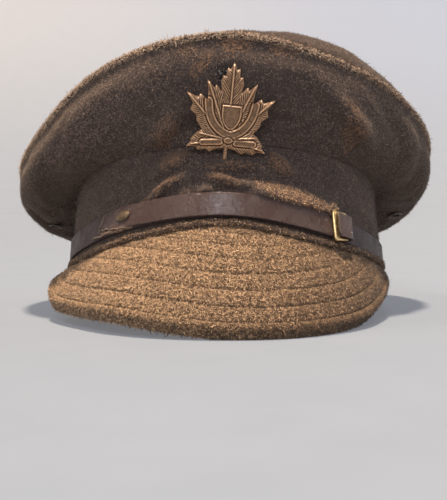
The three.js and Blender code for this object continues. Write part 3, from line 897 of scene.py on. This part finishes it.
def ribbon(name, path, finish, stands_for, ragged=None):
    """A strip laid on the band along a path of (angle, out), with both ends closed"""
    path = np.array(path, float)
    profile = ribbon_profile(STRAP["width"], STRAP["thick"])
    grid = []
    for (angle, out), (run, rise) in zip(path, unit(np.gradient(path * (PER_DEGREE, 1), axis=0))):
        f, e = profile.T
        e, shift = ragged(angle, e) if ragged else (e, 0)
        a = angle + (shift - f * rise) / PER_DEGREE
        grid.append(band_point(a, measure("strap", angle) + e, out + f * run))
    grid = np.array(grid)
    wobble = 0.10 * drift(grid, 9, 11) + 0.05 * drift(grid, 2.5, 12)
    grid = grid + outward(grid) * wobble[..., None]
    sides, count = len(profile), grid[..., 0].size
    points = np.concatenate([grid.reshape(-1, 3), [grid[0].mean(0)], [grid[-1].mean(0)]])
    last, j = count - sides, np.arange(sides)
    k, hub = (j + 1) % sides, j * 0 + count
    faces = np.concatenate([quads(len(grid), sides, ring=True), np.stack([k, j, hub, hub], -1),
                            np.stack([last + j, last + k, hub + 1, hub + 1], -1)])
    add_piece(name, points, faces, finish, stands_for, merge=True)


def torn(angle):
    """How much of the strap's lower edge is torn away near its cut end"""
    uneven_tear = 4.4 + 0.7 * np.sin(angle * 1.9) + 0.4 * np.sin(angle * 5.1)
    return np.exp(-(angle - STRAP["start"]) / 8) * uneven_tear


def slant(e):
    """How far the cut end slants and waves across the strap"""
    return 3.6 * (e / 6.2) + 0.5 * np.sin(e * 2.3)


def frayed(angle, e):
    """The upper layer's cut end: uneven, with its lower corner worn away"""
    e = e + smooth(-1, -6, e) * torn(angle)
    near = math.exp(-(angle - STRAP["start"]) / 3.2)
    return e, near * (slant(e) + 0.35 * np.sin(e * 5.7 + 1))


def strap_layers():
    under = [(a, low_out) for a in np.linspace(-STRAP["end"], STRAP["end"], 260)]
    ribbon("strap_under_leather", under, under_leather_painted_sheen, ["strap_under"])
    bar = SLIDE["angle"] + (SLIDE["long"] - SLIDE["bar"]) / 2 / PER_DEGREE
    reach = (fold_out + (SLIDE["bar"] - SLIDE["thick"]) / 2 + SLIDE["slack"]) / PER_DEGREE
    cut = STRAP["start"] + np.array([0, 0.3, 0.7, 1.2, 1.8])
    along = np.concatenate([cut, np.linspace(STRAP["start"] + 2.5, bar, 130)])
    over = [(a, high_out) for a in along]
    over += [(bar + reach * math.cos(t), high_out + fold_out + fold_out * math.sin(t))
             for t in np.radians(np.linspace(-80, 90, 16))]
    over += [(a, high_out + fold_out * 2) for a in np.linspace(bar - 0.6, SLIDE["angle"] - 2.1, 6)]
    ribbon("strap_over_leather", over, strap_leather, ["strap_over"], frayed)


def worn_end():
    """The pale raw edge of the cut end, and a torn sliver that hangs from its lower corner"""
    up = np.linspace(-3.4, 5.9, 24)
    cut = STRAP["start"] + slant(up) / PER_DEGREE - 0.25
    lower = np.linspace(STRAP["start"] - 0.4, -33, 44)
    t = np.linspace(0, 1, 24)
    sliver, drop = blend(-39.5, -50.5, t), -5.4 + 0.5 * t + 0.35 * np.sin(t * 9)
    for name, angle, up, out, radius, flat in (
            ("strap_raw_edge", cut, up, 0.62, 0.5, 0.6),
            ("strap_torn_edge", lower, -STRAP["width"] / 2 - 0.05 + torn(lower), 0.45, 0.5, 0.7),
            ("strap_torn_sliver", sliver, drop, 0.35 - 0.5 * t, 0.8, 0.7)):
        path = band_point(angle, measure("strap", angle) + up, high_out + out)
        step = np.arange(len(path))
        ends = np.sqrt(np.clip(np.minimum(step, step[::-1]) / 4, 0.01, 1))
        add_cord(name, path, radius, 10, 0.6, flat, ends, finish=torn_leather)


strap_layers()
worn_end()
print("strap:", [n for n in pieces if n.startswith("strap")])

# %% [markdown]
# ## The strap's fittings
# The slide is a cast frame of round bars, swept round a rectangle with round corners. The stud
# and the side buttons are turned, so each is a profile spun round: a rolled rim, a small
# valley and a low dome. All of them stand on the strap by its own normal.

# %% The slide, the stud and the side buttons


def standing(points, where, normal, turn=0.0):
    """Stands points on a face, their Z along its normal and their Y upwards"""
    across = unit(np.cross((0, 0, 1), normal))
    upright = np.cross(normal, across)
    c, s = cos_sin(turn)
    x, y = across * c + upright * s, upright * c - across * s
    return where + points[..., :1] * x + points[..., 1:2] * y + points[..., 2:] * normal


def spun(profile, sides):
    """Points and faces of a profile of (radius, height) spun round Z"""
    turn = around(sides)[:, None]
    r, z = np.array(profile, float).T
    points = point(r * np.cos(turn), r * np.sin(turn), z + 0 * turn)
    return points.reshape(-1, 3), quads(sides, len(profile), True)


def domed(radius, height, rim=0.16):
    """The profile of a turned cap with a rolled rim"""
    r, h, roll = radius, height, radius * rim / 2
    rolled = [(r - roll + roll * math.cos(t), h * 0.28 + roll * math.sin(t))
              for t in np.radians(np.linspace(-60, 150, 9))]
    dome = [(r * (1 - rim * 1.25) * math.cos(t), h * 0.3 + h * 0.7 * math.sin(t))
            for t in np.radians(np.linspace(4, 90, 12))]
    return [(0, 0), (r * 0.9, 0), *rolled, *dome]


def add_turned(name, profile, sides, where, normal, finish, stands_for=(), turn=0,
               stretch=(1, 1, 1)):
    """A turned piece that stands on a face"""
    points, faces = spun(profile, sides)
    points = standing(points * stretch, where, normal, turn)
    add_piece(name, points, faces, finish, stands_for, merge=True)


def slide_frame():
    x, y = (SLIDE["long"] - SLIDE["bar"]) / 2, (SLIDE["tall"] - SLIDE["bar"]) / 2
    corner, path = 0.6, []
    for sx, sy, turn in CORNERS:
        arc = np.radians(np.linspace(0, 90, 7)) + math.radians(turn)
        path += [(sx * (x - corner) + corner * math.cos(t),
                  sy * (y - corner) + corner * math.sin(t), 0) for t in arc]
    path = np.array(path)
    ahead = unit(np.roll(path, -1, 0) - np.roll(path, 1, 0))
    out = np.cross(ahead, (0, 0, 1))
    turn = around(14)
    square = [np.sign(wave) * np.abs(wave) ** 0.6 * thick / 2
              for wave, thick in ((np.cos(turn), SLIDE["bar"]), (np.sin(turn), SLIDE["thick"]))]
    wide = blend(1.75, 0.5, smooth(-x - 0.1, -x + 1.5, path[:, 0]))[:, None, None]
    grid = path[:, None] + out[:, None] * square[0][:, None] * wide + point(0, 0, square[1])
    middle = band_point(SLIDE["angle"], measure("strap", SLIDE["angle"]), high_out + fold_out)
    points = standing(grid.reshape(-1, 3), middle, band_normal(SLIDE["angle"]), SLIDE["turn"])
    add_piece("slide_frame", points, quads(len(path), 14, True, ring=True), slide_brass,
              ["strap_slide"], merge=True)


def turned_fittings():
    on_layer = STRAP["thick"] / 2 + GAP
    for name, node, angle, up, shape, out, finish, turn, stretch in (
            ("stud_cap", "strap_stud", -34.6, 1.1, (3.1, 1.1), high_out, stud_brass, 8,
             (1.4, 0.82, 1)),
            *((f"button_{side}", f"side_button_{side}", angle, 0, (6.5, 4.5), low_out,
               button_brass, 0, (1, 1, 1)) for side, angle in (("left", 104), ("right", -104)))):
        middle = band_point(angle, measure("strap", angle) + up, out + on_layer)
        add_turned(name, domed(*shape), 48, middle, band_normal(angle), finish,
                   [node], turn, stretch)


slide_frame()
turned_fittings()
print("fittings:", [n for n in pieces if n.startswith(("slide", "stud", "button"))])

# %% [markdown]
# ## The badge
# The badge is a cast leaf, with veins, a plain shield and a plain ribbon round it. It is a
# height over a flat outline, so its face is a fine triangulation of the outline whose every
# point is lifted by a sum of simple forms. High places are marked as worn, for its finish,
# and a few listed tips are marked brighter still, as painted glints.

# %% The badge's outline and relief
BADGE = {"angle": 1, "low": 33.5, "share": 0.62, "proud": 0.7, "middle": 24, "turn": -6}
FIELD, STEP = 0.37, 0.55  # spacing of the badge's points, inside it and on its outline
LEAF = np.array([
    (0.9, -24.8), (0.9, -18.6), (4.7, -19.4), (8.3, -21.2), (10, -20), (14.1, -20.8),
    (15.8, -19.2), (20.2, -19.4), (17.9, -16.8), (18.5, -15.6), (15.4, -11.6), (13.1, -10),
    (16.2, -6), (16.4, -3.4), (19.8, -0.8), (18.9, 2.8), (22.3, 7.9), (16.5, 6), (15.5, 7.8),
    (11.5, 5.2), (11.8, 9.6), (12.6, 15.1), (8.8, 11.4), (8, 13.2), (5, 9.8), (5.8, 14.4),
    (5.1, 18), (3.5, 17.6), (3.2, 21.9), (1.7, 21.2), (0, 24.8)])
TIPS = ((11.5, 13.5), (20.5, 6.5), (18, -18), (14, -12))  # of the veins on one side
VEINS = [((0.3, -14), tip) for tip in ((0, 23), *((s * x, y) for x, y in TIPS for s in (1, -1)))]
# Painted glints: these tips are made bright bronze, beyond the wear and patina that follow the
# relief.
GLINT_TIPS = ((0, 24.8), (3.2, 21.9), (12.6, 15.1), (22.3, 7.9), (15.5, 7.8), (20.2, -19.4))
WORN_AND_GLINT_TIPS = [(8, 13.2), *((s * x, y) for x, y in GLINT_TIPS for s in (1, -1))]  # one is one-sided
SWOOP = np.array([  # the bare ribbon's middle line
    (-11.0, 4.6), (-9.8, -1.6), (-7.3, -6.4), (-3.4, -10), (1.2, -11.6), (5.7, -10),
    (9.4, -6.2), (11.6, -1.6), (12.8, 4.4)])


def to_line(p, a, b):
    """Distance to a straight line from a to b, and how far along it"""
    a, b = np.array(a, float), np.array(b, float)
    way = b - a
    t = np.clip(((p - a) @ way) / (way @ way), 0, 1)
    return np.linalg.norm(p - a - t[:, None] * way, axis=1), t * np.linalg.norm(way)


def to_path(p, path, closed=False):
    ends = zip(path, np.roll(path, -1, 0)) if closed else zip(path[:-1], path[1:])
    return np.min([to_line(p, a, b)[0] for a, b in ends], axis=0)


def leaf_relief(p, outline):
    """The leaf's height over its outline: blades, veins, then the forms laid on it"""
    edge = to_path(p, outline, closed=True)
    relief = 0.75 + 0.75 * np.sqrt(1 - (1 - np.clip(edge / 2.4, 0, 1)) ** 2)
    sides, alongs = zip(*(to_line(p, a, b) for a, b in VEINS))
    nearest = np.argmin(sides, axis=0)
    side, along = np.choose(nearest, sides), np.choose(nearest, alongs)
    x, y = p.T
    wander = 0.9 * np.sin(x * 0.9 + y * 0.5) + 0.6 * np.sin(x * 2.1 - y * 1.3)
    barbs = np.sin(2 * math.pi * (along - side * 1.5) / 1.7 + wander) * np.clip(side / 1.2, 0, 1)
    relief += 0.17 * barbs * np.clip(edge / 1.2, 0, 1) + 0.45 * bell(side, 0.42)
    relief += 0.6 * np.exp(-side / 1.6) - 0.3
    shield_side = 5.0 * np.clip(1 - np.clip((-0.5 - y) / 8.8, 0, 1) ** 2.2, 0, 1) ** 0.7
    shield = np.maximum(np.abs(x - 1.1) - shield_side, np.abs(y + 2.8) - 6.2)
    swoop = to_path(p, curve_through(SWOOP, np.linspace(0, 1, 48)))
    tabs = np.minimum(to_line(p, (-12.2, -16.6), (-3.4, -15.6))[0],
                      to_line(p, (5.0, -15.6), (13.6, -15.4))[0])
    knot = np.hypot((x - 0.8) / 1.25, (y + 14.6) / 0.9)
    for distance, half, height, rim in ((tabs, 1.6, 0.5, 0.14), (swoop, 2.05, 0.62, 0.18),
                                        (shield + 2, 2, 0.7, 0.22), (knot, 1.7, 0.75, 0.0)):
        inside = smooth(half + 0.35, half - 0.15, distance)
        form = 1.5 + (height - 0.35) * inside + rim * bell(distance - half + 0.5, 0.28)
        groove = -0.35 * bell(distance - half - 0.45, 0.3)
        relief = blend(relief, form, inside) + groove * (1 - inside)
    boss = 0.25 * bell(x - 1.1, 3) * bell(y + 1.5, 4)
    return np.minimum(relief + boss * smooth(0, -1, shield), 2.8), edge


def leaf_face():
    """The leaf's outline in short steps, with an even field of points inside it, triangulated"""
    corners = np.vstack([LEAF, LEAF[-2::-1] * (-1, 1)])
    outline = []
    for a, b in zip(corners, np.roll(corners, -1, 0)):
        count = max(1, int(np.linalg.norm(b - a) / STEP))
        outline += [blend(a, b, k / count) for k in range(count)]
    x, y = np.meshgrid(np.arange(-23, 23, FIELD), np.arange(-25, 25, FIELD), indexing="ij")
    x = x + (np.arange(x.shape[1]) % 2) * FIELD / 2
    grid = np.stack([x.ravel(), y.ravel()], -1)
    (ax, ay), (bx, by) = corners.T, np.roll(corners, -1, 0).T
    x, y = grid[:, :1], grid[:, 1:]
    crossed = ((ay > y) != (by > y)) & (x < (bx - ax) * (y - ay) / (by - ay + 1e-12) + ax)
    grid = grid[(crossed.sum(1) % 2 == 1) & (to_path(grid, corners, True) > 0.22)]
    ring = [(k, (k + 1) % len(outline)) for k in range(len(outline))]
    flat = [Vector(q) for q in np.vstack([outline, grid]).tolist()]
    points, _, triangles, *_ = delaunay_2d_cdt(flat, ring, [], 1, 1e-5)
    return np.array(outline), np.array([q[:] for q in points]), np.array(triangles)


def badge():
    outline, flat, triangles = leaf_face()
    relief, edge = leaf_relief(flat, outline)
    round_about = np.mean([leaf_relief(flat + 0.7 * np.array(cos_sin(turn)), outline)[0]
                           for turn in range(0, 360, 60)], axis=0)
    near_tip = np.min([np.linalg.norm(flat - tip, axis=1) for tip in WORN_AND_GLINT_TIPS], axis=0)
    worn_and_glint = 0.40 + 2.2 * (relief - round_about) * smooth(0.2, 1.0, edge)
    # The bright spots at the listed tips are painted glints. The rest is wear on high places and
    # edges.
    worn_and_glint += 0.12 * smooth(1.2, 0.2, edge) + 0.8 * bell(near_tip, 1.4)
    count, n = len(outline), len(flat)
    a = np.arange(count)
    b = np.roll(a, -1)
    wall = np.vstack([np.stack([a, b, b + n], -1), np.stack([a, b + n, a + n], -1)])
    low = band_point(BADGE["angle"], BADGE["low"], BADGE["proud"])
    high = side_point(BADGE["angle"], BADGE["share"])
    high = high + side_normal(BADGE["angle"], BADGE["share"]) * BADGE["proud"]
    upright = unit(high - low)
    facing = np.cross((*cos_sin(BADGE["angle"]), 0), upright)
    front, back = np.column_stack([flat, relief]), np.column_stack([flat * 0.995, 0 * relief])
    points = standing(np.vstack([front, back]), low + upright * BADGE["middle"], facing,
                      BADGE["turn"])
    faces = np.vstack([triangles, triangles[:, ::-1] + n, wall])
    piece = add_piece("badge_leaf", points, faces, badge_bronze, ["badge"])
    layer = piece.data.attributes.new("worn_and_glint", "FLOAT", "POINT")
    layer.data.foreach_set("value", np.concatenate([worn_and_glint, worn_and_glint * 0.2]))
    return facing


print("badge facing", badge().round(2), "with", len(pieces["badge_leaf"].data.polygons), "faces")

# %% [markdown]
# ## The vent eyelets
# Each side has one small turned eyelet under the crown's overhang. It has a rolled ring and a black
# disc in its hole, painted shade for the dark inside of the cap, and it stands square to the cloth,
# whose slope is measured over a small square.

# %% The eyelets
EYELET = {"angle": 104.0, "share": 0.34, "proud": 1.2}


def eyelets():
    rolled = [(2.5 + 1.1 * (1 - math.cos(t)), 0.7 * math.sin(t))
              for t in np.radians(np.linspace(0, 180, 11))]
    ring = [(0, -1.0), (2.2, -1.0), (2.4, -0.4), *rolled]
    hole = [(0, -0.55), (2.3, -0.55), (2.25, -0.95), (0, -0.95)]
    step, share = 0.01, EYELET["share"]
    for side, way in (("left", 1), ("right", -1)):
        angle = way * EYELET["angle"]
        square = [side_point(angle + across * step, share + up * step)
                  for across, up in ((-1, -1), (1, -1), (-1, 1), (1, 1))]
        normal = unit(np.cross(square[1] - square[0], square[2] - square[0]))
        where = np.mean(square, 0) + normal * EYELET["proud"]
        for form, profile, finish, node in (("ring", ring, eyelet_metal, [f"eyelet_{side}"]),
                                            ("hole", hole, eyelet_hole_shade.material, ())):
            add_turned(f"eyelet_{form}_{side}", profile, 40, where, normal, finish,
                       node)


eyelets()
print("eyelets:", [n for n in pieces if n.startswith("eyelet")])

# %% [markdown]
# ## The nap
# Felted wool is seen by its loose fibres as much as by its face: they make the outline fuzzy
# and sparkle where light rakes them. Each fibre is a thin bent diamond of two triangles, not a
# hair curve. Fibres of one tone in one region are one piece, in a single flat colour, and the
# mixture of tones gives the heather; some regions' tones and some patches are painted light and
# shade.

# %% Loose fibres
rng = np.random.default_rng(1916)
PLACES = ("crown", "peak", "rim")
# The colours per place are in part painted light and shade on one cloth: the crown's tones are
# darker and greyer, the peak's paler and more golden, and the rim's paler still, a painted glow on
# the cord.
FIBRES = {  # tone: its colour in each of the three places, and its share of the fibres there
    "straw": ((0.27, 0.19, 0.145), (0.60, 0.40, 0.235), (0.62, 0.46, 0.325), (0.13, 0.28, 0.28)),
    "tan": ((0.135, 0.096, 0.078), (0.28, 0.175, 0.10), (0.30, 0.20, 0.135), (0.42, 0.38, 0.38)),
    "umber": ((0.050, 0.038, 0.036), (0.07, 0.042, 0.026), (0.08, 0.052, 0.036),
              (0.45, 0.34, 0.34)),
}


def fibre_finish(tone, colour):
    return Finish("fibre_" + tone, base_color=colour, roughness=0.8, sheen_weight=0.15,
                  specular_ior_level=0.2).material


fibre_finishes = {(tone, on): fibre_finish(f"{tone}_{on}", colours[k])
                  for tone, colours in FIBRES.items() for k, on in enumerate(PLACES)}
# Russet fibres have the warm colour of cloth under the key light and fill the patches of painted
# light. Lint, black and torn are the cloth's and leather's own colours.
for tone, colour in (("russet", (0.265, 0.152, 0.090)), ("lint", (0.36, 0.34, 0.32)),
                     ("black", (0.010, 0.009, 0.010)), ("torn", (0.36, 0.24, 0.15))):
    fibre_finishes[tone, "crown"] = fibre_finish(tone, colour)


def scatter(skins, count):
    """Random places spread evenly over grids of points, with their normals"""
    a, b, c, d = (np.concatenate([q.reshape(-1, 3) for q in corner]) for corner in zip(*[
        (s[:-1, :-1], s[1:, :-1], s[1:, 1:], s[:-1, 1:]) for s in skins]))
    turn = np.cross(c - a, d - b)
    area = np.linalg.norm(turn, axis=1) / 2
    cell = np.searchsorted(np.cumsum(area) / area.sum(), rng.random(count)).clip(0, len(area) - 1)
    u, v = rng.random((2, count, 1))
    here = blend(blend(a[cell], b[cell], u), blend(d[cell], c[cell], u), v)
    return here, unit(turn[cell])


def add_fibres(name, here, normal, length, width, lift, finish):
    """A bent diamond a fibre: root, two sides of its middle, tip"""
    count = len(here)
    way = unit(np.cross(normal, rng.normal(size=(count, 3))))
    side = np.cross(normal, way)
    curl = rng.normal(size=(count, 1)) * 0.3
    root = here - normal * 0.12
    middle = here + way * length * 0.5 + normal * lift * 0.65
    lift = lift * rng.uniform(0.3, 1.3, (count, 1))
    tip = here + unit(way + side * curl) * length + normal * lift
    points = np.stack([root, middle - side * width / 2, tip, middle + side * width / 2], 1)
    first = (np.arange(count) * 4)[:, None]
    faces = np.concatenate([first + (0, 1, 3), first + (1, 2, 3)])
    add_piece(name, points.reshape(-1, 3), faces, finish, soft=False)


def nap(region, skins, per_mm2, keep=None, lift=0.55, length=1.7, shorter=None, paler=None):
    """The nap of one region. keep, shorter and paler look at where each fibre grows."""
    here, normal = scatter(skins, int(per_mm2 * sum_area(skins)))
    if keep:
        chosen = keep(here)
        here, normal = here[chosen], normal[chosen]
    # The hem is crown cloth but grows the peak's paler tones as painted light, and the cord grows
    # the rim's glow tones.
    on = {"peak": "peak", "hem": "peak", "cord": "rim"}.get(region, "crown")
    straw, tan = (FIBRES[tone][-1][PLACES.index(on)] for tone in ("straw", "tan"))
    fade = paler(here) if paler else 0
    draw = rng.random(len(here))
    tones = (draw > straw + fade) * 1 + (draw > straw + tan + fade)
    trim = shorter(here) if shorter else np.ones((len(here), 1))
    for k, tone in enumerate(FIBRES):
        mine = tones == k
        size = mine.sum(), 1
        stray = rng.random(size) < 0.03
        long = rng.uniform(0.6, 1.35, size) * length * np.where(stray, 1.8, 1) * trim[mine]
        high = rng.uniform(0.35, 1.5, size) * lift * np.where(stray, 2.6, 1) * trim[mine]
        wide = rng.uniform(0.16, 0.34, size) * (1 if on == "crown" else 1.25)
        add_fibres(f"nap_{region}_{tone}", here[mine], normal[mine], long, wide, high,
                   fibre_finishes[tone, on])
    return len(here)


# Painted light: pale, warm fibres laid where the key light catches mounds, folds and the slack roll
# over the strap. The four patches by the rim are partly wear and partly painted light. The slide
# hairs, lint and moth spot are the cloth's own.
LIT_AND_WORN_PATCHES = (  # name, on the front panels or the band, where, what grows there, per mm2, lift
    ("worn_lit_middle", "front", (2.5, 0.93, 0, 9, 5.5), "russet", 3.0, 0.8),
    ("worn_lit_right", "front", (14, 0.93, 0, 8, 3), "russet", 2.4, 0.7),
    ("worn_lit_left", "front", (-9, 0.9, 0, 5, 4), "russet", 2.0, 0.7),
    ("worn_lit_edge", "front", (-5.5, 0.74, 50, 9, 3), "russet", 3.0, 0.6),
    ("lit_side_mound", "front", (-19, 0.2, 50, 15, 5), "russet", 1.8, 0.7),
    ("lit_fold", "front", (36, 0.5, -45, 17, 4), "russet", 2.4, 0.7),
    ("lit_roll_russet", "band", (23, 13.5, -14, 26, 5), "russet", 3.2, 0.8),
    ("lit_roll_golden", "band", (24, 12.5, -14, 25, 4.5), "golden", 1.2, 0.9),
    ("slide_hairs", "band", (36, 11, 0, 4, 2.2), "golden", 1.5, 2.6),
    ("lit_crease", "band", (-0.5, 22, -20, 9, 2.6), "russet", 2.6, 0.7),
    ("lit_ridge", "band", (-20, 20.5, 30, 11, 2.6), "russet", 2.8, 0.7),
    ("lit_band_mound_left", "band", (-17, 34, 20, 9, 5), "russet", 3.2, 0.7),
    ("lit_band_mound_right", "band", (17.5, 31, -40, 8, 4), "russet", 3.0, 0.7),
    ("lit_band_mound_middle", "band", (2, 29.5, 0, 17, 2), "russet", 2.0, 0.7),
    ("moth_spot", "front", (-0.3, 0.63, 20, 3.2, 4.2), "black", 7, 0.5),
    ("lint", "front", (-0.6, 0.64, 0, 3.4, 3.6), "lint", 0.5, 0.9),
)


def paint_lit_and_worn_nap(skins):
    """Patches of pale, warm fibres: painted light on lit mounds, folds and the slack roll, partly
    wear and partly painted light by the rim, and stray hairs, lint and a moth spot
    """
    for name, on, (angle, up, turn, wide, tall), tone, per_mm2, lift in LIT_AND_WORN_PATCHES:
        here, normal = scatter([skins[on]], int(per_mm2 * sum_area([skins[on]])))
        offset = here - (side_point if on == "front" else band_point)(angle, up)
        c, s = cos_sin(angle)
        x, deep = offset[:, 0] * c + offset[:, 1] * s, offset[:, 0] * s - offset[:, 1] * c
        c, s = cos_sin(turn)
        reach = ((x * c + offset[:, 2] * s) / wide) ** 2 + ((offset[:, 2] * c - x * s) / tall) ** 2
        chosen = reach + (deep / 30) ** 2 < rng.uniform(0.1, 1.3, len(here))
        size = chosen.sum(), 1
        finish = fibre_finishes[("straw", "peak") if tone == "golden" else (tone, "crown")]
        add_fibres(f"nap_{name}", here[chosen], normal[chosen], rng.uniform(0.9, 2.2, size),
                   rng.uniform(0.2, 0.36, size), rng.uniform(0.4, 1.4, size) * lift, finish)


def frayed_leather(count=260):
    """Torn fibres of leather along the strap's worn edge"""
    angle = blend(-45.0, -31.0, rng.random(count)**1.3)
    up = measure("strap", angle) - 5.6 + 1.5 * np.exp(-(angle + 45) / 3.2)
    up, size = up + rng.normal(size=count) * 0.3, (count, 1)
    spot = band_point(angle, up, high_out + rng.uniform(-0.6, 0.8, count))
    add_fibres("strap_frayed_fibres", spot, unit(band_normal(angle) + (0, 0, -0.8)),
               rng.uniform(0.5, 1.3, size), rng.uniform(0.15, 0.3, size),
               rng.uniform(0.1, 0.6, size), fibre_finishes["torn", "crown"])


def sum_area(skins):
    return sum(np.linalg.norm(turn, axis=2).sum() / 2 for turn in (
        np.cross(s[1:, 1:] - s[:-1, :-1], s[:-1, 1:] - s[1:, :-1]) for s in skins))


def clear_of_strap(here):
    """True where a fibre wouldn't grow through the strap"""
    x, y = here[:, 0] / BAND["half_width"], here[:, 1] / BAND["half_length"]
    angle = np.degrees(np.arctan2(x, -y))
    under = np.abs(here[:, 2] - measure("strap", angle)) < STRAP["width"] / 2 + 0.6
    return ~(under & (np.abs(angle) < STRAP["end"]))


def near_rows(here):
    """Fibres lie short in the peak's stitched valleys"""
    away_from = np.abs(to_edge(here)[:, None] - ROWS).min(1)
    return (0.3 + 0.7 * smooth(0.3, 1.9, away_from))[:, None]


def painted_peak_light(here):
    """Paler fibres on the peak's left side, as painted light from the left, and darker ones along
    its turned edge, as painted shade
    """
    return 0.26 * np.clip(here[:, 0] / -75, -1, 1) - 0.2 * smooth(7.5, 5, to_edge(here))


# Painted glow: paler fibres round the rim cord, most on the left, for the light that catches its
# fuzz.
def painted_rim_glow(here):
    return 0.2 - 0.22 * np.clip(here[:, 0] / 90, -1, 1)


def darker_hem(here):
    return -0.13


def painted_side_light(here):
    """Paler fibres on the drooping sides, most on the left one, as painted light on the lobes'
    undersides, and fewer in front, as painted shade
    """
    aside = np.clip(here[:, 0] / 85, -1, 1)
    return np.where(aside < 0, -0.40 * aside, 0.16 * aside) - 0.06 * (1 - np.abs(aside))


top_closed, band_closed, cord_closed = (
    np.concatenate([s, s[:1]]) for s in (top_skin, band_skin, cord_skin))
grown = {
    "sides": nap("sides", side_skins, 1.8, paler=painted_side_light),
    "top": nap("top", [top_closed], 1.3),
    "band": nap("band", [band_closed], 2.0, keep=clear_of_strap),
    "cord": nap("cord", [cord_closed], 5.0, lift=0.7, paler=painted_rim_glow),
    "peak": nap("peak", [peak_skin[:, ::-1]], 4.2, length=2.0, shorter=near_rows, paler=painted_peak_light),
    "hem": nap("hem", [hem_skin], 3.0, length=1.3, paler=darker_hem),
}
paint_lit_and_worn_nap({"front": side_skins[1], "band": band_closed})
frayed_leather()
print("fibres:", grown, "in all", sum(grown.values()))

# %% [markdown]
# ## The room
# A pale round bowl gives a plain studio ground from every side: a floor that curves up into a
# wall. The bowl glows as painted light: faintly at the floor, where it fills the cap's undersides,
# and more up the wall, warm on the left and cool on the right. The main light stands high, a
# little in front and to one side, because on this cap the peak, the top and the cloth over the
# strap are bright while the front of the crown lies in the shadow of its own rim. A second sun
# comes from the left. Two lights stand in front at one place: a cool one that fills the shadow,
# and one that only shines back from leather and brass.

# %% The bowl, the lights and the camera


def studio_bowl():
    curve = [(2400 + 1500 * s, 1500 - 1500 * c) for c, s in map(cos_sin, np.linspace(0, 90, 24))]
    points, faces = spun([(0, 0), (1200, 0), *curve, (3900, 5200)], 96)
    mesh = bpy.data.meshes.new("bowl")
    mesh.from_pydata((points * MM).tolist(), [], faces.tolist())
    mesh.polygons.foreach_set("use_smooth", np.full(len(mesh.polygons), True))
    paper = Finish("bowl_paper", roughness=0.9, specular_ior_level=0.1, emission_strength=1.0)
    grain = paper.speckle(paper.place((0.02, 0.02, 0.02)), 1.0, 3.0, 0.6)
    here = paper.node("TexCoord", output="Object")
    sideways, height = (paper.node("SeparateXYZ", {}, {0: here}, output=k) for k in (0, 2))
    # Painted light: the bowl glows warm on the left and cool on the right, and a faint glow at the
    # floor lights the cap from below as a painted fill.
    wall = paper.mix(paper.spread(sideways, -1.3, 1.3), (0.555, 0.48, 0.425), (0.38, 0.385, 0.445))
    mesh.materials.append(paper.done(
        base_color=paper.ramp(grain, [(0.3, (0.163, 0.190, 0.228)), (0.7, (0.173, 0.199, 0.238))]),
        emission_color=paper.mix(paper.spread(height, -0.1, 1.1), (0.155, 0.155, 0.165), wall)))
    floor = bpy.data.objects.new("bowl", mesh)
    bpy.context.scene.collection.objects.link(floor)
    floor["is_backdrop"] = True


def light(name, kind, place, aim, power, colour, **settings):
    lamp = bpy.data.lights.new(name, kind)
    lamp.energy, lamp.color = power, colour
    for key, value in settings.items():
        setattr(lamp, key, value)
    stand = bpy.data.objects.new(name, lamp)
    stand.location = place
    stand.rotation_euler = (Vector(aim) - Vector(place)).to_track_quat("-Z", "Y").to_euler()
    bpy.context.scene.collection.objects.link(stand)
    return stand


studio_bowl()
middle, crown_middle, in_front = (0, 0, 0), (0, 0, 0.08), (-0.14, -2.0, 1.33)
light("high_key", "SUN", (0.0, -0.135, 1.0), middle, 6.2, (1.0, 0.80, 0.60), angle=math.radians(5))
light("left_key", "SUN", (-0.85, -0.08, 1.0), middle, 2.4, (1.0, 0.84, 0.66),
      angle=math.radians(16))
light("front_fill", "AREA", in_front, crown_middle, 13.5, (0.84, 0.90, 1.0), shape="DISK", size=0.6)
sheen = light("front_sheen", "AREA", in_front, crown_middle, 13.0, (1.0, 0.96, 0.96),
              shape="DISK", size=0.7)
sheen.visible_diffuse = False
world = bpy.data.worlds.new("studio")
bpy.context.scene.world = world
world.use_nodes = True
sky = world.node_tree.nodes["Background"].inputs
sky["Color"].default_value, sky["Strength"].default_value = (0.66, 0.78, 1.0, 1), 0.06
bpy.context.scene.view_settings.view_transform = "Standard"

camera = bpy.data.objects.new("camera", bpy.data.cameras.new("camera"))
bpy.context.scene.collection.objects.link(camera)
bpy.context.scene.camera = camera
camera.data.lens, camera.data.sensor_width = 72.2, 36
camera.data.clip_start, camera.data.clip_end = 0.01, 50
pitch = Matrix.Rotation(math.radians(87), 3, "X")
roll = Matrix.Rotation(math.radians(-0.4), 3, "Z")
camera.rotation_euler = (pitch @ roll).to_euler()
camera.location = (-0.0017, -0.59805, 0.067)
print("camera at", camera.location[:], "lens", camera.data.lens)

# %% [markdown]
# ## The size
# How far the dressed cap grows beyond the packed one on each side is worked out from both
# boxes and printed. The dressed cap may not grow beyond the packed one by more than its
# fuzz.

# %% The two boxes
final_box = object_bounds()
grown_by = [[round((b - a) * 1000, 1) for a, b in zip(*pair)] for pair in zip(cad_box, final_box)]
print("grew by", grown_by, "mm")
triangles = {n: sum(len(q.vertices) - 2 for q in o.data.polygons) for n, o in pieces.items()}
print("triangles:", sum(triangles.values()), "most in one:", max(triangles, key=triangles.get))
